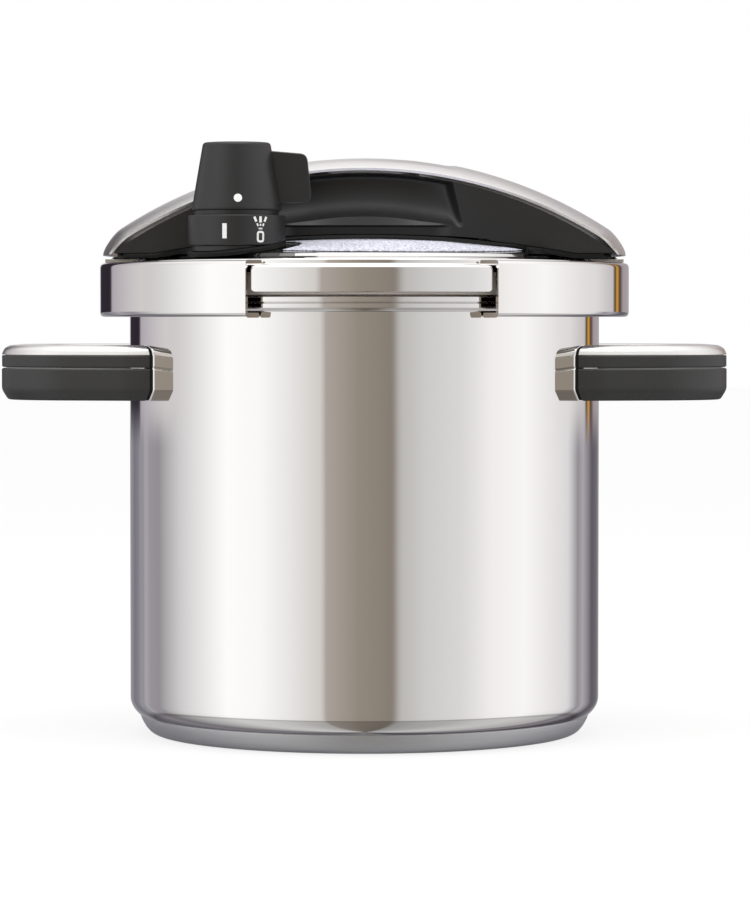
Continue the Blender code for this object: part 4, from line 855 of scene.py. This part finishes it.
def makeBridgeBody():
    # inverted U section along the bridge; finger scoops push its front and rear walls in
    b = bridge
    u = np.sin(np.linspace(-pi / 2, pi / 2, 330))
    half, lean = b["bodyHalf"], b["scoopLean"]
    x = u * b["bodyEnd"]
    roof = arcZ(x, b["bodyDrop"])
    low = np.minimum(domeZ(np.minimum(np.hypot(x, half), lid["domeEdge"])) + b["rise"], roof)
    # rows follow the features: foot, lens line, scoop floor, scoop top, roof
    near = smoothStep(52 - np.abs(x), 12)
    floor = b["scoopFloor"] - b["scoopFall"] * (x / b["scoopHalf"]) ** 2
    top = arcZ(x, b["bodyDrop"] + 0.4)
    span = roof - low
    line = np.minimum(b["lensLine"], floor - 0.15)
    line = low + span * 0.2 * (1 - near) + (line - low) * near
    floor = low + span * 0.4 * (1 - near) + (floor - low) * near
    top = low + span * 0.93 * (1 - near) + (top - low) * near
    ease = lambda n: 0.5 - 0.5 * np.cos(np.linspace(0, pi, n))
    marks = [(low, line, 12), (line, floor, 14), (floor, top, 46), (top, roof, 8)]
    z = np.concatenate([lo[:, None] + (hi - lo)[:, None] * ease(n)[None, :-1] for lo, hi, n in marks]
                       + [roof[:, None]], 1)
    # near the scoop's ends the columns lean with its slanted end walls
    leaning = smoothStep(13 - np.abs(np.abs(x) - 43), 11)
    xx = x[:, None] + np.sign(x)[:, None] * leaning[:, None] * (roof[:, None] - z) * lean
    side = b["scoopEnd"] + (arcZ(40, b["bodyDrop"]) - z) * lean - np.abs(xx)
    up = z - floor[:, None]
    under = top[:, None] - z
    sink = lambda distance, length: 1 - np.exp(-np.maximum(distance, 0) / length)
    depth = b["scoopDepth"] * sink(side, 1.6) * sink(up, 6.0) * sink(under, 0.45)
    centre = smoothStep(37 - np.abs(xx), 9)
    lens = np.clip((z - line[:, None]) / np.maximum(floor - line, 0.3)[:, None], 0, 1)
    depth = depth + b["lensSet"] * lens * centre * np.clip((floor - line)[:, None] / 2, 0, 1)
    depth = depth + b["footSet"] * centre * smoothStep(line[:, None] - z - 0.35, 0.7)
    trim = np.maximum(0, np.hypot(xx, half) - b["roundEnd"])
    front = np.stack([xx - np.sign(xx) * trim, -half + depth, z], -1)
    rear = (front * [1, -1, 1])[:, ::-1]
    across = np.linspace(-1, 1, 9)[1:-1]
    topRow = np.stack([x[:, None] + 0 * across[None], half * across[None] + 0 * x[:, None],
                       roof[:, None] + 0 * across[None]], -1)
    # inner walls: narrow between the scoops, wide towards the ends
    xi = u * b["innerEnd"]
    roofIn = arcZ(xi, b["bodyDrop"] + b["bodyWall"])
    lowIn = np.maximum(domeZ(np.minimum(np.abs(xi) + 12, lid["domeEdge"])) + b["rise"], 0)
    lowIn = np.minimum(lowIn, roofIn)
    wide = 14 + 18 * smoothStep(np.abs(xi) - 50, 8)
    upIn = np.linspace(0, 1, 12)
    zi = lowIn[:, None] + (roofIn - lowIn)[:, None] * upIn[None]
    innerRear = np.stack([xi[:, None] + 0 * zi, wide[:, None] + 0 * zi, zi], -1)
    innerFront = (innerRear * [1, -1, 1])[:, ::-1]
    points = np.concatenate([front, topRow, rear, innerRear, innerFront], 1) * mm
    makePiece("bridgeBody", points, barFaces(*points.shape[:2]), "black", "lid", ["bridge_body"], sharp=42)


makeCap()
makeButton()
makeBridgeBody()
print("cooker: bridge made")

tower = {"x": -58.4, "y": -57.5, "ring": 22.3, "ringLow": 229.2, "ringFoot": 226.2, "ringTop": 243.0,
         "knobBase": (20.6, 246.2), "knobTip": (15.6, 275.5), "knobTop": 276.4, "cavityTop": 273.6,
         "stemTop": 261.3, "pointerZ": 250.6, "pointerTurn": radians(3.6)}
towerAt = np.array([tower["x"], tower["y"], 0]) * mm


def makeDialRing():
    t = tower
    r = t["ring"]
    low = t["ringFoot"]
    corners = [(20.2, t["ringTop"]), (r, t["ringTop"]), (r, t["ringLow"]), (20.8, t["ringLow"]), (20.8, low),
               (18.6, low), (18.6, 236.5), (20.2, 237.5)]
    section = softCorners(corners, [0.4, 0.7, 0.9, 0.5, 0.2, 0.2, 0.3, 0.3], 6)
    steps = 160
    angles = np.linspace(0, 2 * pi, steps, endpoint=False)
    points = turnedPoints(section, angles) + towerAt
    # the foot follows the dome that it stands on
    reach = np.hypot(points[..., 0], points[..., 1]) / mm
    seat = (domeZ(np.minimum(reach, lid["domeEdge"])) + bridge["rise"]) * mm
    share = np.clip((229.4 * mm - points[..., 2]) / (3.2 * mm), 0, 1)
    points[..., 2] = np.where(share > 0, points[..., 2] * (1 - share) + seat * share, points[..., 2])
    points[..., 2] = np.maximum(points[..., 2], seat)
    makePiece("dialRing", points, [gridQuads(len(section), steps, True, True)], "black", "lid", ["dial_ring"])


def stroke(path, width, closed=False):
    # a ribbon of even width along (arc, height) points, bent round the ring and given a slight thickness
    path = np.asarray(path, float)
    tangent = (np.roll(path, -1, 0) - np.roll(path, 1, 0)) if closed else np.gradient(path, axis=0)
    tangent /= np.linalg.norm(tangent, axis=1)[:, None]
    normal = np.stack([-tangent[:, 1], tangent[:, 0]], -1) * width / 2
    left, right = path + normal, path - normal
    radius = tower["ring"]
    layers = [(left, radius + 0.06), (right, radius + 0.06), (right, radius - 0.3), (left, radius - 0.3)]
    rows = [np.stack([r * np.sin(p[:, 0] / radius), -r * np.cos(p[:, 0] / radius), p[:, 1]], -1)
            for p, r in layers]
    points = np.stack(rows, 1)
    count = len(points)
    faces = gridQuads(count, 4, closed, True)
    if not closed:
        faces = np.vstack([faces, [[0, 1, 2, 3]], np.array([[3, 2, 1, 0]]) + 4 * (count - 1)])
    return points.reshape(-1, 3), faces


def makeMarks():
    # a bar, a nought, and three dashed rays over the nought
    r = tower["ring"]
    at = lambda degrees: r * radians(degrees)
    line = lambda a, b: np.linspace(a, b, 6)
    strokes = []
    mid = at(-12.4)
    strokes.append(stroke(line((mid, 232.2), (mid, 239.0)), 2.05))
    mid = at(30.9)
    corner = softCorners([(-1.4, -2.15), (1.4, -2.15), (1.4, 2.15), (-1.4, 2.15)], 1.0, 5) / mm
    strokes.append(stroke(corner + [mid, 233.0], 0.95, closed=True))
    # each dash begins and ends at its own height; the rays lean out from a point above the nought
    lean, meeting = 0.45, 235.1
    for low, high, width in ((236.3, 237.0, 0.5), (237.8, 239.0, 0.75), (239.8, 242.0, 1.1)):
        for way in (-1, 1):
            foot, head = (np.array([mid + way * lean * (z - meeting), z]) for z in (low, high))
            strokes.append(stroke(line(foot, head), width))
    for low, high, width in ((236.3, 237.1, 0.5), (237.9, 238.8, 0.75), (239.4, 242.2, 1.3)):
        strokes.append(stroke(line((mid, low), (mid, high)), width))
    count = np.cumsum([0] + [len(p) for p, f in strokes])
    points = np.vstack([p for p, f in strokes]) * mm + towerAt
    faces = [np.vstack([f + c for (p, f), c in zip(strokes, count)])]
    makePiece("dialMarks", points, faces, "pale", "lid").visible_glossy = False


def makeKnob():
    t = tower
    corners = [(0, t["knobTop"]), (14.8, t["knobTop"]), t["knobTip"], t["knobBase"], (20.4, 245.4),
               (19.4, 245.4), (19.4, 238.5), (17.6, 238.5), (17.6, 246.1), (13.4, t["cavityTop"]),
               (5.5, t["cavityTop"]), (5.5, t["stemTop"]), (0, t["stemTop"])]
    soft = [0, 1.0, 0.7, 0.4, 0.3, 0.4, 0.3, 0.3, 0.5, 0.8, 0.5, 0.4, 0]
    profile = denser(softCorners(corners, soft, 6, closed=False), 0.003, closed=False)
    turned("selectorKnob", profile, "black", "knob", ["selector_knob"], 144, towerAt, closed=False)

    # the fin: a rounded plate outline drawn out to both sides with soft edges
    outline = softCorners([(14.5, 248.4), (34.6, 248.8), (32.2, 271.2), (14.5, 272.7)], [0.3, 4.4, 3.2, 0.3],
                          12)
    centre = outline.mean(0)
    levels = [(-2.5, 0.965), (-2.3, 0.988), (-1.9, 1.0), (1.9, 1.0), (2.3, 0.988), (2.5, 0.965)]
    rings = []
    for y, scale in levels:
        flat = centre + (outline - centre) * scale
        rings.append(np.stack([flat[:, 0], np.full(len(flat), y * mm), flat[:, 1]], -1))
    points = np.stack(rings) + towerAt
    makePiece("knobFin", points, barFaces(*points.shape[:2]), "black", "knob", sharp=40)

    # the pointer: a small disc set in the knob's sloping side
    slope = (t["knobBase"][0] - t["knobTip"][0]) / (t["knobTip"][1] - t["knobBase"][1])
    face = t["knobBase"][0] - (t["pointerZ"] - t["knobBase"][1]) * slope
    dot = denser(softCorners([(0, 0.12), (1.9, 0.05), (1.9, -0.8), (0, -0.8)], [0, 0.15, 0.1, 0], 4,
                             closed=False), 0.001, closed=False)
    angles = np.linspace(0, 2 * pi, 48, endpoint=False)
    disc = withPoles(turnedPoints(dot[1:-1], angles), dot)
    tilt = Matrix.Rotation(pi / 2 - np.arctan(slope), 3, "X")
    disc = disc @ np.array(tilt).T + np.array([0, -face, t["pointerZ"]]) * mm
    disc = disc @ np.array(Matrix.Rotation(t["pointerTurn"], 3, "Z")).T + towerAt
    makePiece("pointerDot", disc, fanFaces(len(dot) - 2, len(angles)), "pale", "knob", ["knob_pointer"])


makeDialRing()
makeMarks()
makeKnob()
print("cooker: selector made")
